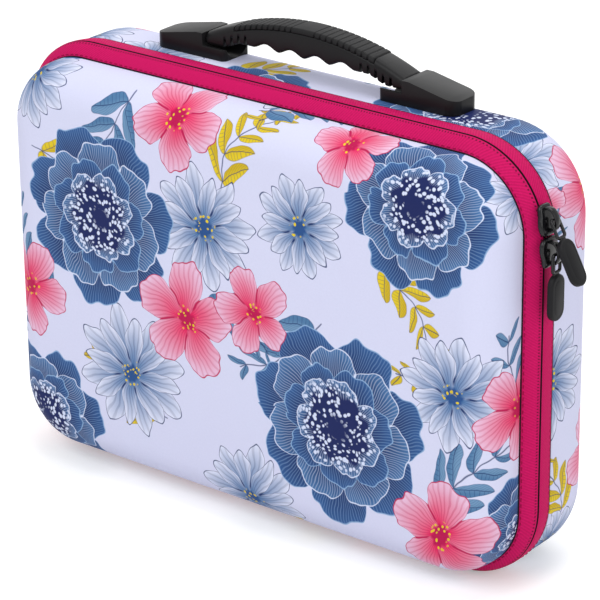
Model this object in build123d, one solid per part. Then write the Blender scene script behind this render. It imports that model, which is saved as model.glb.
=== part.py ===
from build123d import *
import math
import os

os.makedirs("parts", exist_ok=True)

# Frame: X to the right, Y to the back, Z up. The origin lies on the floor,
# below the middle of the zipper seam. All sizes are in millimetres.

# Seam line, the widest outline of the closed case, where the two tapes meet
SEAM_WIDTH = 310.0
SEAM_HEIGHT = 220.0
SEAM_RADIUS = 43.0
SEAM_GAP = 1.0
TAPE_CREST_INSET = 0.2

# Lid shell, in front of the seam
LID_INSET = 7.0
LID_RIM_DEPTH = 7.0
LID_DEPTH = 31.0
LID_CORNER_RADIUS = 34.0
LID_EDGE_RADIUS = 20.0
LID_WALL = 3.5

# Rear shell, behind the seam, flush with the floor so that the case stands
REAR_INSET = 1.9
REAR_RIM_DEPTH = 12.0
REAR_DEPTH = 50.0
REAR_EDGE_RADIUS = 20.0
REAR_WALL = 3.5

# Rounded edges of the shells are drawn as this many straight bands
OUTER_BANDS = 3
INNER_BANDS = 2

# Zipper tapes, coils and bindings
TAPE_THICKNESS = 1.4
TAPE_END_X = 95.0
HINGE_REACH = 0.3
COIL_DEPTH = 2.4
COIL_INNER_INSET = 4.8
COIL_TAPE_GAP = 0.5
COIL_END_X = 103.0
BINDING_THICKNESS = 1.1
REAR_BINDING_WIDTH = 10.0
LID_BINDING_WIDTH = 6.4
BINDING_GAP = 0.1
STOP_LENGTH = 5.0
STOP_GAP = 0.6

# Foam tray with its pockets, and the jars that it holds
TRAY_INSET = 7.0
TRAY_FRONT_Y = 8.0
TRAY_BACK_GAP = 0.3
TRAY_EDGE_CHAMFER = 12.6
JAR_COLUMNS = 10
JAR_ROWS = 6
JAR_PITCH_X = 27.8
JAR_PITCH_Z = 29.5
JAR_DIAMETER = 26.0
JAR_HEIGHT = 38.0
JAR_SIDES = 8
CAP_DIAMETER = 26.8
CAP_HEIGHT = 8.0
POCKET_CLEARANCE = 0.6
POCKET_FLOOR_Y = 34.0
JAR_SEAT_GAP = 0.2

# Net pocket on the inside of the lid
NET_WIDTH = 236.0
NET_HEIGHT = 132.0
NET_RADIUS = 12.0
NET_THICKNESS = 0.8
NET_BINDING_WIDTH = 7.0
NET_BINDING_THICKNESS = 2.6
NET_GAP = 0.1

# Carrying handle on the top of the rear shell
HANDLE_LENGTH = 180.0
HANDLE_X = 3.0
HANDLE_Y = 27.0
BRACKET_DEPTH = 20.0
BRACKET_END_RADIUS = 6.0
BRACKET_FOOT_RADIUS = 3.0
BRACKET_END_HEIGHT = 7.0
BRACKET_SEAM_HEIGHT = 12.2
BRACKET_SEAT = 3.0
FOOT_END_X = 46.0
FOOT_HEIGHT = 5.8
CRADLE_RADIUS = 8.9
PIVOT_HEIGHT = 9.3
PIN_DIAMETER = 3.2
PIN_CLEARANCE = 0.05
PIN_REACH = 7.5
GRIP_LENGTH = 119.0
GRIP_END_GAP = 0.3
GRIP_WIDTH = 15.4
GRIP_END_TOP = 12.0
GRIP_END_BOTTOM = 6.4
GRIP_CROWN = 24.6
GRIP_BELLY = 10.0
GRIP_TOP_CHAMFER = 3.0
GRIP_END_FLAT = 8.5
GRIP_BELLY_HALF = 37.0
SCALLOP_PITCH = 15.2
SCALLOP_RADIUS = 7.5
SCALLOP_DEPTH = 2.5
SCALLOP_COUNT = 4
SLOT_FIRST_X = 34.6
SLOT_PITCH = 4.3
SLOT_COUNT = 4
SLOT_WIDTH = 1.5
SLOT_DEPTH = 3.6
PAD_LENGTH = 84.0
PAD_THICKNESS = 2.4
RIB_PITCH = 5.0
RIB_GROOVE = 1.0
BACKING_END_MARGIN = 6.0
BACKING_WIDTH = 12.0
BACKING_Y = 23.9
BACKING_THICKNESS = 1.2
BACKING_GAP = 0.1
SCREW_X = 75.0
SCREW_DIAMETER = 4.0
SCREW_HEAD_DIAMETER = 8.0
SCREW_HEAD_HEIGHT = 1.4
SCREW_SIDES = 8
SCREW_REACH = 5.5
SCREW_CLEARANCE = 0.1

# Zipper sliders and their pulls
SLIDER_LENGTH = 14.6
SLIDER_NOSE_WIDTH = 12.4
SLIDER_TAIL_WIDTH = 8.6
SLIDER_LIFT = 0.4
SLIDER_PLATE = 2.8
SLIDER_CORNER_CHAMFER = 1.6
SLIDER_NECK = 0.7
SLIDER_NECK_LENGTH = 5.2
UNDERPLATE_DEPTH = 5.3
UNDERPLATE_THICKNESS = 1.2
UNDERPLATE_WIDTH = 5.0
UNDERPLATE_LENGTH = 8.0
BRIDGE_WIDTH = 3.4
BRIDGE_HEIGHT = 5.6
BRIDGE_BAR = 1.5
BRIDGE_LENGTH = 12.0
PIVOT_LIFT = 6.2
LOWER_SLIDER_Z = 173.4
UPPER_SLIDER_ANGLE = 15.0
UPPER_PULL_TILT = 28.0
LINK_WIDTH = 7.4
LINK_BAR = 1.6
LINK_THICKNESS = 1.8
LINK_LENGTH = 9.6
TONGUE_WIDTH = 4.0
TONGUE_LENGTH = 5.4
TAB_LENGTH = 22.5
TAB_WIDTH = 10.5
TAB_THICKNESS = 3.3
TAB_END_RADIUS = 4.6
TAB_GAP = 0.1

# Values worked out from the sizes above
CASE_TOP = SEAM_HEIGHT - REAR_INSET
REAR_RADIUS = SEAM_RADIUS - REAR_INSET
HALF_GAP = SEAM_GAP / 2
BACKING_LENGTH = 2 * (SCREW_X + BACKING_END_MARGIN)
ARC_X = SEAM_WIDTH / 2 - SEAM_RADIUS
ARC_Z = SEAM_HEIGHT - SEAM_RADIUS
PIVOT_Z = CASE_TOP + PIVOT_HEIGHT
ALONG_X = (1, 0, 0)
ALONG_Y = (0, 1, 0)
ALONG_Z = (0, 0, 1)
TOWARDS_FRONT = (0, -1, 0)


def outline(y, width, bottom, top, radius):
    """Rounded outline of the case, square to Y, between two heights."""
    plane = Plane(origin=(0, y, (bottom + top) / 2), x_dir=ALONG_X, z_dir=TOWARDS_FRONT)
    return plane * RectangleRounded(width, top - bottom, radius)


def seam_outline(y, inset, radius=None):
    """Outline that lies a steady inset inside the seam line."""
    corner = SEAM_RADIUS - inset if radius is None else radius
    return outline(y, SEAM_WIDTH - 2 * inset, inset, SEAM_HEIGHT - inset, corner)


def lid_outline(y, inset=0.0):
    """Outline inside the lid shell's outer wall."""
    return seam_outline(y, LID_INSET + inset, LID_CORNER_RADIUS - inset)


def rear_outline(y, inset=0.0):
    """Outline inside the rear shell's outer wall, which stands on the floor."""
    width = SEAM_WIDTH - 2 * (REAR_INSET + inset)
    return outline(y, width, inset, CASE_TOP - inset, REAR_RADIUS - inset)


def ring(outer_faces, inner_faces):
    """Band between two stacks of outlines, one stack inside the other."""
    return loft(Sketch() + outer_faces, ruled=True) - loft(Sketch() + inner_faces, ruled=True)


def box(x0, x1, y0, y1, z0, z1):
    """Box between two opposite corners."""
    centre = ((x0 + x1) / 2, (y0 + y1) / 2, (z0 + z1) / 2)
    return Pos(*centre) * Box(x1 - x0, y1 - y0, z1 - z0)


def rod(radius, start, direction, length):
    """Round rod from a point along a direction."""
    plane = Plane(origin=start, z_dir=direction)
    return extrude(plane * Circle(radius), amount=length)


def prism(points, y0, y1):
    """Outline in the XZ plane, drawn through points, extruded from y0 to y1."""
    face = make_face(Polyline(*[(x, y0, z) for x, z in points], close=True))
    return extrude(face, amount=y1 - y0, dir=ALONG_Y)


def hinge_side(half_width):
    """Block round the stretch of the bottom edge that the zipper leaves to the hinge."""
    reach = REAR_RIM_DEPTH
    return box(-half_width, half_width, -reach, reach + 1, -1, 2 * LID_INSET)


def rounded_block(outline_at, rim_y, end_y, inset, radius, bands):
    """Block from its rim to its flat end, the end's edge rounded in straight bands."""
    side = 1 if end_y > rim_y else -1
    faces = [outline_at(rim_y, inset)]
    for step in range(bands + 1):
        angle = math.radians(90 * step / bands)
        y = end_y - side * radius * (1 - math.sin(angle))
        faces.append(outline_at(y, inset + radius * (1 - math.cos(angle))))
    return loft(Sketch() + faces, ruled=True)


def lid_shell():
    """Moulded lid of even wall, open at its rim."""
    rim = -LID_RIM_DEPTH
    inner_radius = LID_EDGE_RADIUS - LID_WALL
    outer = rounded_block(lid_outline, rim, -LID_DEPTH, 0, LID_EDGE_RADIUS, OUTER_BANDS)
    inner = rounded_block(lid_outline, rim, LID_WALL - LID_DEPTH, LID_WALL, inner_radius, INNER_BANDS)
    return outer - inner


def rear_block():
    """Rear shell without its hollow."""
    return rounded_block(rear_outline, REAR_RIM_DEPTH, REAR_DEPTH, 0, REAR_EDGE_RADIUS, OUTER_BANDS)


def rear_shell():
    inner_radius = REAR_EDGE_RADIUS - REAR_WALL
    inner_end = REAR_DEPTH - REAR_WALL
    inner = rounded_block(rear_outline, REAR_RIM_DEPTH, inner_end, REAR_WALL, inner_radius, INNER_BANDS)
    return rear_block() - inner - screw_holes(HANDLE_X, CASE_TOP - REAR_WALL - 1, CASE_TOP + 1)


def lid_band(inset_shift):
    """Sloping faces of the lid's tape, from the crest down to the lid's rim."""
    crest = seam_outline(-HALF_GAP, TAPE_CREST_INSET + inset_shift)
    return [crest, lid_outline(-LID_RIM_DEPTH, inset_shift)]


def lid_zip_tape():
    return ring(lid_band(0.0), lid_band(TAPE_THICKNESS)) - hinge_side(TAPE_END_X)


def lid_hinge_strip():
    strip = ring(lid_band(0.0), lid_band(TAPE_THICKNESS))
    return strip & hinge_side(TAPE_END_X - STOP_GAP)


def rear_band(inset_shift):
    """Faces of the rear tape, from the crest back to the rear shell's rim."""
    crest = TAPE_CREST_INSET + inset_shift
    crest_face = outline(
        HALF_GAP, SEAM_WIDTH - 2 * crest, inset_shift, SEAM_HEIGHT - crest, SEAM_RADIUS - crest
    )
    return [crest_face, rear_outline(REAR_RIM_DEPTH, inset_shift)]


def rear_zip_tape():
    return ring(rear_band(0.0), rear_band(TAPE_THICKNESS)) - hinge_side(TAPE_END_X)


def rear_hinge_strip():
    """Rear half of the cloth hinge, which reaches just past the hinge axis."""
    end = TAPE_END_X - STOP_GAP
    strip = ring(rear_band(0.0), rear_band(TAPE_THICKNESS)) & hinge_side(end)
    return strip + box(-end, end, -HINGE_REACH, HALF_GAP, 0, TAPE_THICKNESS)


def lid_zip_coil():
    crest_inset = TAPE_CREST_INSET + TAPE_THICKNESS + COIL_TAPE_GAP
    front_y = -(HALF_GAP + COIL_DEPTH)
    slope = (LID_INSET - TAPE_CREST_INSET) / (LID_RIM_DEPTH - HALF_GAP)
    front_inset = min(crest_inset + slope * COIL_DEPTH, COIL_INNER_INSET - COIL_TAPE_GAP)
    outer = [seam_outline(-HALF_GAP, crest_inset), seam_outline(front_y, front_inset)]
    inner = [seam_outline(-HALF_GAP, COIL_INNER_INSET), seam_outline(front_y, COIL_INNER_INSET)]
    return ring(outer, inner) - hinge_side(COIL_END_X)


def rear_zip_coil():
    inset = TAPE_CREST_INSET + TAPE_THICKNESS + COIL_TAPE_GAP
    back_y = HALF_GAP + COIL_DEPTH
    outer = [seam_outline(HALF_GAP, inset), seam_outline(back_y, inset)]
    inner = [seam_outline(HALF_GAP, COIL_INNER_INSET), seam_outline(back_y, COIL_INNER_INSET)]
    return ring(outer, inner) - hinge_side(COIL_END_X)


def rear_rim_binding():
    outer = REAR_WALL + BINDING_GAP
    inner = outer + BINDING_THICKNESS
    front = REAR_RIM_DEPTH - REAR_BINDING_WIDTH / 2
    outer_block = extrude(rear_outline(front, outer), amount=REAR_BINDING_WIDTH, dir=ALONG_Y)
    inner_block = extrude(rear_outline(front, inner), amount=REAR_BINDING_WIDTH, dir=ALONG_Y)
    return outer_block - inner_block


def lid_rim_binding():
    outer = LID_WALL + BINDING_GAP
    inner = outer + BINDING_THICKNESS
    rim = -(LID_RIM_DEPTH - LID_BINDING_WIDTH / 3)
    outer_block = extrude(lid_outline(rim, outer), amount=LID_BINDING_WIDTH)
    inner_block = extrude(lid_outline(rim, inner), amount=LID_BINDING_WIDTH)
    return outer_block - inner_block


def zip_end_stops():
    """Clamps on the coil beside each end of the zipper, at the bottom edge."""
    inset = TAPE_CREST_INSET + TAPE_THICKNESS + COIL_TAPE_GAP
    stops = []
    for side in (-1, 1):
        start = side * (COIL_END_X - STOP_GAP)
        end = side * (COIL_END_X - STOP_GAP - STOP_LENGTH)
        x0, x1 = min(start, end), max(start, end)
        stops.append(box(x0, x1, HALF_GAP, HALF_GAP + COIL_DEPTH, inset, COIL_INNER_INSET))
    return stops


def jar_centres():
    """Jar places, column by column, centred on the rear shell."""
    centre_z = CASE_TOP / 2
    places = []
    for column in range(JAR_COLUMNS):
        for row in range(JAR_ROWS):
            x = (column - (JAR_COLUMNS - 1) / 2) * JAR_PITCH_X
            z = centre_z + (row - (JAR_ROWS - 1) / 2) * JAR_PITCH_Z
            places.append((x, z))
    return places


def polygon_block(x, z, y0, y1, diameter, sides):
    """Many-sided block along Y, as wide over its corners as the diameter."""
    turn = 180 / sides
    plane = Plane(origin=(x, y0, z), x_dir=ALONG_X, z_dir=TOWARDS_FRONT)
    face = plane * RegularPolygon(diameter / 2, sides, rotation=turn)
    return extrude(face, amount=y1 - y0, dir=ALONG_Y)


def jar_tray():
    back = REAR_DEPTH - REAR_WALL - TRAY_BACK_GAP
    face = rear_outline(TRAY_FRONT_Y, TRAY_INSET)
    tray = extrude(face, amount=back - TRAY_FRONT_Y, dir=ALONG_Y)
    tray = chamfer(tray.faces().sort_by(Axis.Y)[-1].edges(), TRAY_EDGE_CHAMFER)
    half = JAR_DIAMETER / 2 + POCKET_CLEARANCE / 2
    pockets = []
    for x, z in jar_centres():
        pockets.append(box(x - half, x + half, TRAY_FRONT_Y - 1, POCKET_FLOOR_Y, z - half, z + half))
    return tray - pockets


def jar_bodies():
    """Jars with their fill, closed by the caps, so each is one solid."""
    bottom = POCKET_FLOOR_Y - JAR_SEAT_GAP
    mouth = bottom - JAR_HEIGHT
    return [
        polygon_block(x, z, mouth, bottom, JAR_DIAMETER, JAR_SIDES)
        for x, z in jar_centres()
    ]


def jar_caps():
    mouth = POCKET_FLOOR_Y - JAR_SEAT_GAP - JAR_HEIGHT
    return [
        polygon_block(x, z, mouth - CAP_HEIGHT, mouth, CAP_DIAMETER, JAR_SIDES)
        for x, z in jar_centres()
    ]


def net_face(y, shrink):
    plane = Plane(origin=(0, y, SEAM_HEIGHT / 2), x_dir=ALONG_X, z_dir=TOWARDS_FRONT)
    return plane * RectangleRounded(NET_WIDTH - 2 * shrink, NET_HEIGHT - 2 * shrink, NET_RADIUS - shrink)


def net_binding():
    """Raised tape round the net, sewn to the lid's inner face."""
    back = -(LID_DEPTH - LID_WALL - NET_GAP)
    outer = extrude(net_face(back, 0), amount=NET_BINDING_THICKNESS, dir=ALONG_Y)
    inner = extrude(net_face(back, NET_BINDING_WIDTH), amount=NET_BINDING_THICKNESS, dir=ALONG_Y)
    return outer - inner


def net_pocket():
    """Net stretched across the binding, one binding thickness off the lid."""
    back = -(LID_DEPTH - LID_WALL - NET_GAP) + NET_BINDING_THICKNESS - NET_THICKNESS
    return extrude(net_face(back, NET_BINDING_WIDTH), amount=NET_THICKNESS, dir=ALONG_Y)


def screw_places(middle_x):
    return [(middle_x + side * SCREW_X, HANDLE_Y) for side in (-1, 1)]


def screw_holes(middle_x, z0, z1):
    radius = SCREW_DIAMETER / 2 + SCREW_CLEARANCE
    return [rod(radius, (x, y, z0), ALONG_Z, z1 - z0) for x, y in screw_places(middle_x)]


def backing_top():
    return CASE_TOP - REAR_WALL - BACKING_GAP


def handle_backing_plate():
    top = backing_top()
    bottom = top - BACKING_THICKNESS
    plane = Plane(origin=(HANDLE_X, BACKING_Y, bottom))
    plate = extrude(plane * Rectangle(BACKING_LENGTH, BACKING_WIDTH), amount=BACKING_THICKNESS)
    return plate - screw_holes(HANDLE_X, bottom - 1, top + 1)


def handle_screws():
    """Screws up through the plate and the shell into the brackets."""
    head_top = backing_top() - BACKING_THICKNESS
    shank = CASE_TOP + SCREW_REACH - head_top
    head_face = RegularPolygon(SCREW_HEAD_DIAMETER / 2, SCREW_SIDES)
    shank_face = RegularPolygon(SCREW_DIAMETER / 2, SCREW_SIDES)
    screws = []
    for x, y in screw_places(HANDLE_X):
        head = extrude(Pos(x, y, head_top - SCREW_HEAD_HEIGHT) * head_face, amount=SCREW_HEAD_HEIGHT)
        screws.append(head + extrude(Pos(x, y, head_top) * shank_face, amount=shank))
    return screws


def bracket():
    """Right-hand bracket: a sloping block with a foot, seated on the rear shell's rounding."""
    end = HANDLE_LENGTH / 2
    seam = GRIP_LENGTH / 2 + GRIP_END_GAP
    base = CASE_TOP
    low = base - BRACKET_SEAT
    side = Polyline(
        (FOOT_END_X, 0, low),
        (FOOT_END_X, 0, base + FOOT_HEIGHT),
        (seam, 0, base + FOOT_HEIGHT),
        (seam, 0, base + BRACKET_SEAM_HEIGHT),
        (seam + 4, 0, base + BRACKET_SEAM_HEIGHT),
        (end, 0, base + BRACKET_END_HEIGHT),
        (end, 0, low),
        close=True,
    )
    block = extrude(make_face(side), amount=BRACKET_DEPTH / 2, both=True)
    block = Pos(0, HANDLE_Y, 0) * block
    plan_length = end - FOOT_END_X + BRACKET_END_RADIUS
    plan = Rectangle(end - FOOT_END_X, BRACKET_DEPTH)
    plan = fillet(plan.vertices().sort_by(Axis.X)[-2:], BRACKET_END_RADIUS)
    plan = fillet(plan.vertices().sort_by(Axis.X)[:2], BRACKET_FOOT_RADIUS)
    column = extrude(Pos((end + FOOT_END_X) / 2, HANDLE_Y, low) * plan, amount=plan_length)
    block = block & column
    cradle = rod(CRADLE_RADIUS, (FOOT_END_X - 1, HANDLE_Y, PIVOT_Z), ALONG_X, seam - FOOT_END_X + 1)
    pin_bore = rod(PIN_DIAMETER / 2 + PIN_CLEARANCE, (seam - 1, HANDLE_Y, PIVOT_Z), ALONG_X, PIN_REACH + 1.2)
    holes = screw_holes(0, base - 1, base + SCREW_REACH + 0.5)
    return block - rear_block() - cradle - pin_bore - holes


def handle_pins():
    """Pivot pins, half in the bracket and half in the grip's end."""
    seam = GRIP_LENGTH / 2 + GRIP_END_GAP
    start = seam - PIN_REACH
    pin = rod(PIN_DIAMETER / 2, (start, HANDLE_Y, PIVOT_Z), ALONG_X, 2 * PIN_REACH)
    return [pin, mirror(pin, about=Plane.YZ)]


def grip_blank():
    """Grip before the pad, scallops and slots are taken out of it."""
    half = GRIP_LENGTH / 2
    base = CASE_TOP
    end_bottom = base + GRIP_END_BOTTOM
    belly = base + GRIP_BELLY
    edges = [
        ThreePointArc((-half, 0, base + GRIP_END_TOP), (0, 0, base + GRIP_CROWN), (half, 0, base + GRIP_END_TOP)),
        Polyline(
            (half, 0, base + GRIP_END_TOP),
            (half, 0, end_bottom),
            (half - GRIP_END_FLAT, 0, end_bottom),
            (GRIP_BELLY_HALF, 0, belly),
            (-GRIP_BELLY_HALF, 0, belly),
            (-half + GRIP_END_FLAT, 0, end_bottom),
            (-half, 0, end_bottom),
            (-half, 0, base + GRIP_END_TOP),
        ),
    ]
    blank = extrude(make_face(edges), amount=GRIP_WIDTH / 2, both=True)
    crown = blank.edges().filter_by(GeomType.CIRCLE)
    blank = chamfer(crown, GRIP_TOP_CHAMFER)
    return Pos(0, HANDLE_Y, 0) * blank


def crown_radius():
    half = GRIP_LENGTH / 2
    rise = GRIP_CROWN - GRIP_END_TOP
    return (half * half + rise * rise) / (2 * rise)


def pad_zone():
    """Slice under the grip's crown that the soft pad fills."""
    radius = crown_radius()
    centre_z = CASE_TOP + GRIP_CROWN - radius
    span = 2 * GRIP_WIDTH
    outer = rod(radius + 1, (0, HANDLE_Y - span / 2, centre_z), ALONG_Y, span)
    inner = rod(radius - PAD_THICKNESS, (0, HANDLE_Y - span / 2, centre_z), ALONG_Y, span)
    window = box(
        -PAD_LENGTH / 2, PAD_LENGTH / 2, HANDLE_Y - span, HANDLE_Y + span,
        CASE_TOP + GRIP_BELLY, CASE_TOP + GRIP_CROWN + 1,
    )
    return (outer - inner) & window


def handle_grip():
    grip = grip_blank() - pad_zone()
    scallop_z = CASE_TOP + GRIP_BELLY + SCALLOP_DEPTH - SCALLOP_RADIUS
    front = HANDLE_Y - GRIP_WIDTH
    cuts = []
    for index in range(SCALLOP_COUNT):
        x = (index - (SCALLOP_COUNT - 1) / 2) * SCALLOP_PITCH
        cuts.append(rod(SCALLOP_RADIUS, (x, front, scallop_z), ALONG_Y, 2 * GRIP_WIDTH))
    for side in (-1, 1):
        for index in range(SLOT_COUNT):
            x = side * (SLOT_FIRST_X + index * SLOT_PITCH)
            top = CASE_TOP + GRIP_BELLY + SLOT_DEPTH
            half = SLOT_WIDTH / 2
            cuts.append(box(x - half, x + half, front, front + 2 * GRIP_WIDTH, CASE_TOP, top))
        bore_start = (side * (GRIP_LENGTH / 2 - PIN_REACH), HANDLE_Y, PIVOT_Z)
        bore_radius = PIN_DIAMETER / 2 + PIN_CLEARANCE
        cuts.append(rod(bore_radius, bore_start, (side, 0, 0), PIN_REACH + 1))
    return grip - cuts


def handle_grip_pad():
    """Soft pad on the grip's crown, with ribs across it."""
    pad = grip_blank() & pad_zone()
    radius = crown_radius()
    centre_z = CASE_TOP + GRIP_CROWN - radius
    count = int(PAD_LENGTH / RIB_PITCH) - 2
    grooves = []
    for index in range(count):
        angle = (index - (count - 1) / 2) * RIB_PITCH / radius
        x = radius * math.sin(angle)
        z = centre_z + radius * math.cos(angle)
        block = Rot(0, 45 + math.degrees(angle), 0) * Box(RIB_GROOVE, 2 * GRIP_WIDTH, RIB_GROOVE)
        grooves.append(Pos(x, HANDLE_Y, z) * block)
    return pad - grooves


def slider():
    """Slider at the origin: the crest runs along Z, the outside is +X, the nose is up."""
    outer = SLIDER_LIFT + SLIDER_PLATE
    half = SLIDER_LENGTH / 2
    nose = SLIDER_NOSE_WIDTH / 2
    tail = SLIDER_TAIL_WIDTH / 2
    points = [(-nose, half), (nose, half), (nose, 0), (tail, -half), (-tail, -half), (-nose, 0)]
    face = make_face(Polyline(*[(SLIDER_LIFT, y, z) for y, z in points], close=True))
    plate = extrude(face, amount=SLIDER_PLATE, dir=ALONG_X)
    plate = chamfer(plate.edges().filter_by(Axis.X), SLIDER_CORNER_CHAMFER)
    plate = chamfer(plate.faces().sort_by(Axis.X)[-1].edges(), SLIDER_PLATE / 4)
    top = outer + BRIDGE_HEIGHT
    reach = BRIDGE_LENGTH / 2
    arch = prism(
        [(outer - 1, -reach), (top - 2, -reach + 1.6), (top, -reach / 3), (top, reach / 3),
         (top - 2, reach - 1.6), (outer - 1, reach)],
        -BRIDGE_WIDTH / 2, BRIDGE_WIDTH / 2,
    )
    inner = top - BRIDGE_BAR
    hole = prism(
        [(outer, -reach + 2.4), (inner - 1.4, -reach + 3), (inner, -reach / 3),
         (inner, reach / 3), (inner - 1.4, reach - 3), (outer, reach - 2.4)],
        -BRIDGE_WIDTH, BRIDGE_WIDTH,
    )
    neck = box(-UNDERPLATE_DEPTH, outer, -SLIDER_NECK / 2, SLIDER_NECK / 2,
               -SLIDER_NECK_LENGTH / 2, SLIDER_NECK_LENGTH / 2)
    under = box(-UNDERPLATE_DEPTH - UNDERPLATE_THICKNESS, -UNDERPLATE_DEPTH,
                -UNDERPLATE_WIDTH / 2, UNDERPLATE_WIDTH / 2,
                -UNDERPLATE_LENGTH / 2, UNDERPLATE_LENGTH / 2)
    return plate + (arch - hole) + neck + under


def pull_link():
    """Wire link hanging down from its pivot at the origin."""
    half = LINK_WIDTH / 2
    thick = LINK_THICKNESS / 2
    link = rod(thick, (0, -half, 0), ALONG_Y, LINK_WIDTH)
    for side in (-1, 1):
        inner = side * (half - LINK_BAR)
        outer = side * half
        link += box(-thick, thick, min(inner, outer), max(inner, outer), -LINK_LENGTH, 0)
    link += box(-thick, thick, -half, half, -LINK_LENGTH, -LINK_LENGTH + LINK_BAR)
    tongue = TONGUE_WIDTH / 2
    return link + box(-thick / 1.5, thick / 1.5, -tongue, tongue, -LINK_LENGTH - TONGUE_LENGTH, -LINK_LENGTH)


def pull_tab():
    """Rounded tab on the link's tongue."""
    top = -LINK_LENGTH - TAB_GAP
    plane = Plane(origin=(-TAB_THICKNESS / 2, 0, top - TAB_LENGTH / 2), x_dir=ALONG_Y, z_dir=ALONG_X)
    tab = extrude(plane * RectangleRounded(TAB_WIDTH, TAB_LENGTH, TAB_END_RADIUS), amount=TAB_THICKNESS)
    thick = LINK_THICKNESS / 3 + TAB_GAP
    tongue = TONGUE_WIDTH / 2 + TAB_GAP
    pocket = box(-thick, thick, -tongue, tongue, -LINK_LENGTH - TONGUE_LENGTH - TAB_GAP, 0)
    return tab - pocket


def lower_place():
    return Pos(SEAM_WIDTH / 2, 0, LOWER_SLIDER_Z)


def upper_place():
    """Place on the corner's arc, turned round the arc's centre."""
    return Pos(ARC_X, 0, ARC_Z) * Rot(0, -UPPER_SLIDER_ANGLE, 0) * Pos(SEAM_RADIUS, 0, 0)


def upper_pull_place():
    tilt = UPPER_SLIDER_ANGLE - UPPER_PULL_TILT
    return upper_place() * Pos(PIVOT_LIFT, 0, 0) * Rot(0, tilt, 0)


def lower_pull_place():
    return lower_place() * Pos(PIVOT_LIFT, 0, 0)


right_bracket = bracket()
handle_place = Pos(HANDLE_X, 0, 0)

nodes = {
    "lid_shell": lid_shell(),
    "lid_zip_tape": lid_zip_tape(),
    "lid_zip_coil": lid_zip_coil(),
    "lid_hinge_strip": lid_hinge_strip(),
    "lid_rim_binding": lid_rim_binding(),
    "net_pocket": net_pocket(),
    "net_pocket_binding": net_binding(),
    "rear_shell": rear_shell(),
    "rear_zip_tape": rear_zip_tape(),
    "rear_zip_coil": rear_zip_coil(),
    "rear_hinge_strip": rear_hinge_strip(),
    "rear_rim_binding": rear_rim_binding(),
    "zip_end_stops": zip_end_stops(),
    "jar_tray": jar_tray(),
    "jar_bodies": jar_bodies(),
    "jar_caps": jar_caps(),
    "handle_backing_plate": handle_backing_plate(),
    "handle_screws": handle_screws(),
    "handle_bracket_right": handle_place * right_bracket,
    "handle_bracket_left": handle_place * mirror(right_bracket, about=Plane.YZ),
    "handle_pins": [handle_place * pin for pin in handle_pins()],
    "handle_grip": handle_place * handle_grip(),
    "handle_grip_pad": handle_place * handle_grip_pad(),
    "upper_slider": upper_place() * Rot(180, 0, 0) * slider(),
    "lower_slider": lower_place() * slider(),
    "upper_pull_link": upper_pull_place() * pull_link(),
    "upper_pull_tab": upper_pull_place() * pull_tab(),
    "lower_pull_link": lower_pull_place() * pull_link(),
    "lower_pull_tab": lower_pull_place() * pull_tab(),
}

for name, shape in nodes.items():
    solids = []
    for piece in shape if isinstance(shape, list) else [shape]:
        solids.extend(piece.solids())
    export_step(Compound(children=solids) if len(solids) > 1 else solids[0], f"parts/{name}.step")
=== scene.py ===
"""Looks of the jar sorting case: printed hard shells, pink zipper, black handle, tray of jars."""

import math

import bmesh
import bpy
from bpy.props import FloatProperty, FloatVectorProperty, IntProperty, PointerProperty
from mathutils import Euler, Matrix, Vector
from mathutils.geometry import tessellate_polygon


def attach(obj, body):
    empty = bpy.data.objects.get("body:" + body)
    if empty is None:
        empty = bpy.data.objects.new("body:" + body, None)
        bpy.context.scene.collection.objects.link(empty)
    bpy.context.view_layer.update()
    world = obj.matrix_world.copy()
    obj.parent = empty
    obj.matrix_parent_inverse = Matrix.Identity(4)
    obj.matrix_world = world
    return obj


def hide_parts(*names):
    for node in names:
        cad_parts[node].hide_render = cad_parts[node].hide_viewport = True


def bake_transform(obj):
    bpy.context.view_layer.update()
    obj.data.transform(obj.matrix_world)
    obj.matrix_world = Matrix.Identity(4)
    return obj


bl_info = {
    "name": "Jar sorting case",
    "version": (1, 0, 0),
    "blender": (4, 5, 0),
    "location": "3D View > Sidebar > Case",
    "description": "Printed hard-shell zip case with a carrying handle and a tray of small jars",
    "category": "Object",
}

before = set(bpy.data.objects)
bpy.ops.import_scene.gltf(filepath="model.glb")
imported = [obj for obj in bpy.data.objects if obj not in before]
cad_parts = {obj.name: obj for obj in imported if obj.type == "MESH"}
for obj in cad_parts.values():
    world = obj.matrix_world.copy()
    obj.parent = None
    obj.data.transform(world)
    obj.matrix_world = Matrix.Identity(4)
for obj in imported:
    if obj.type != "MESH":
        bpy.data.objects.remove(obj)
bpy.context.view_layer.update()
MM = 0.001

# Millimetres of cloth to one unit of its map, and angles between faces in degrees
CLOTH_UNIT = 100.0
SHARP_ANGLE = 38.0
BEVEL_ANGLE = 28.0
FLAT_ANGLE = 1.5

# Outlines of the case, in millimetres, as in the part's source
SEAM_WIDTH = 310.0
SEAM_HEIGHT = 220.0
SEAM_RADIUS = 43.0
LID_INSET = 7.0
LID_RIM = 7.0
LID_DEPTH = 31.0
LID_RADIUS = 34.0
REAR_INSET = 1.9
REAR_RIM = 12.0
REAR_DEPTH = 50.0
EDGE_RADIUS = 20.0
WALL = 3.5
CASE_TOP = SEAM_HEIGHT - REAR_INSET

# Zipper, hinge and stitches, in millimetres
TAPE_END_X = 95.0
HINGE_END_X = 94.4
COIL_END_X = 103.0
COIL_INSET = 3.3
COIL_Y = 1.5
TOOTH_ROW_Y = -1.6
TOOTH_ROW_HALF = 0.45
# Half width of the painted shade along the seam
SEAM_SHADE_HALF = 0.78
STITCH_THREAD = 0.42
TAPE_THICKNESS = 1.1
SEAM_HALF_GAP = 0.42

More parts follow.
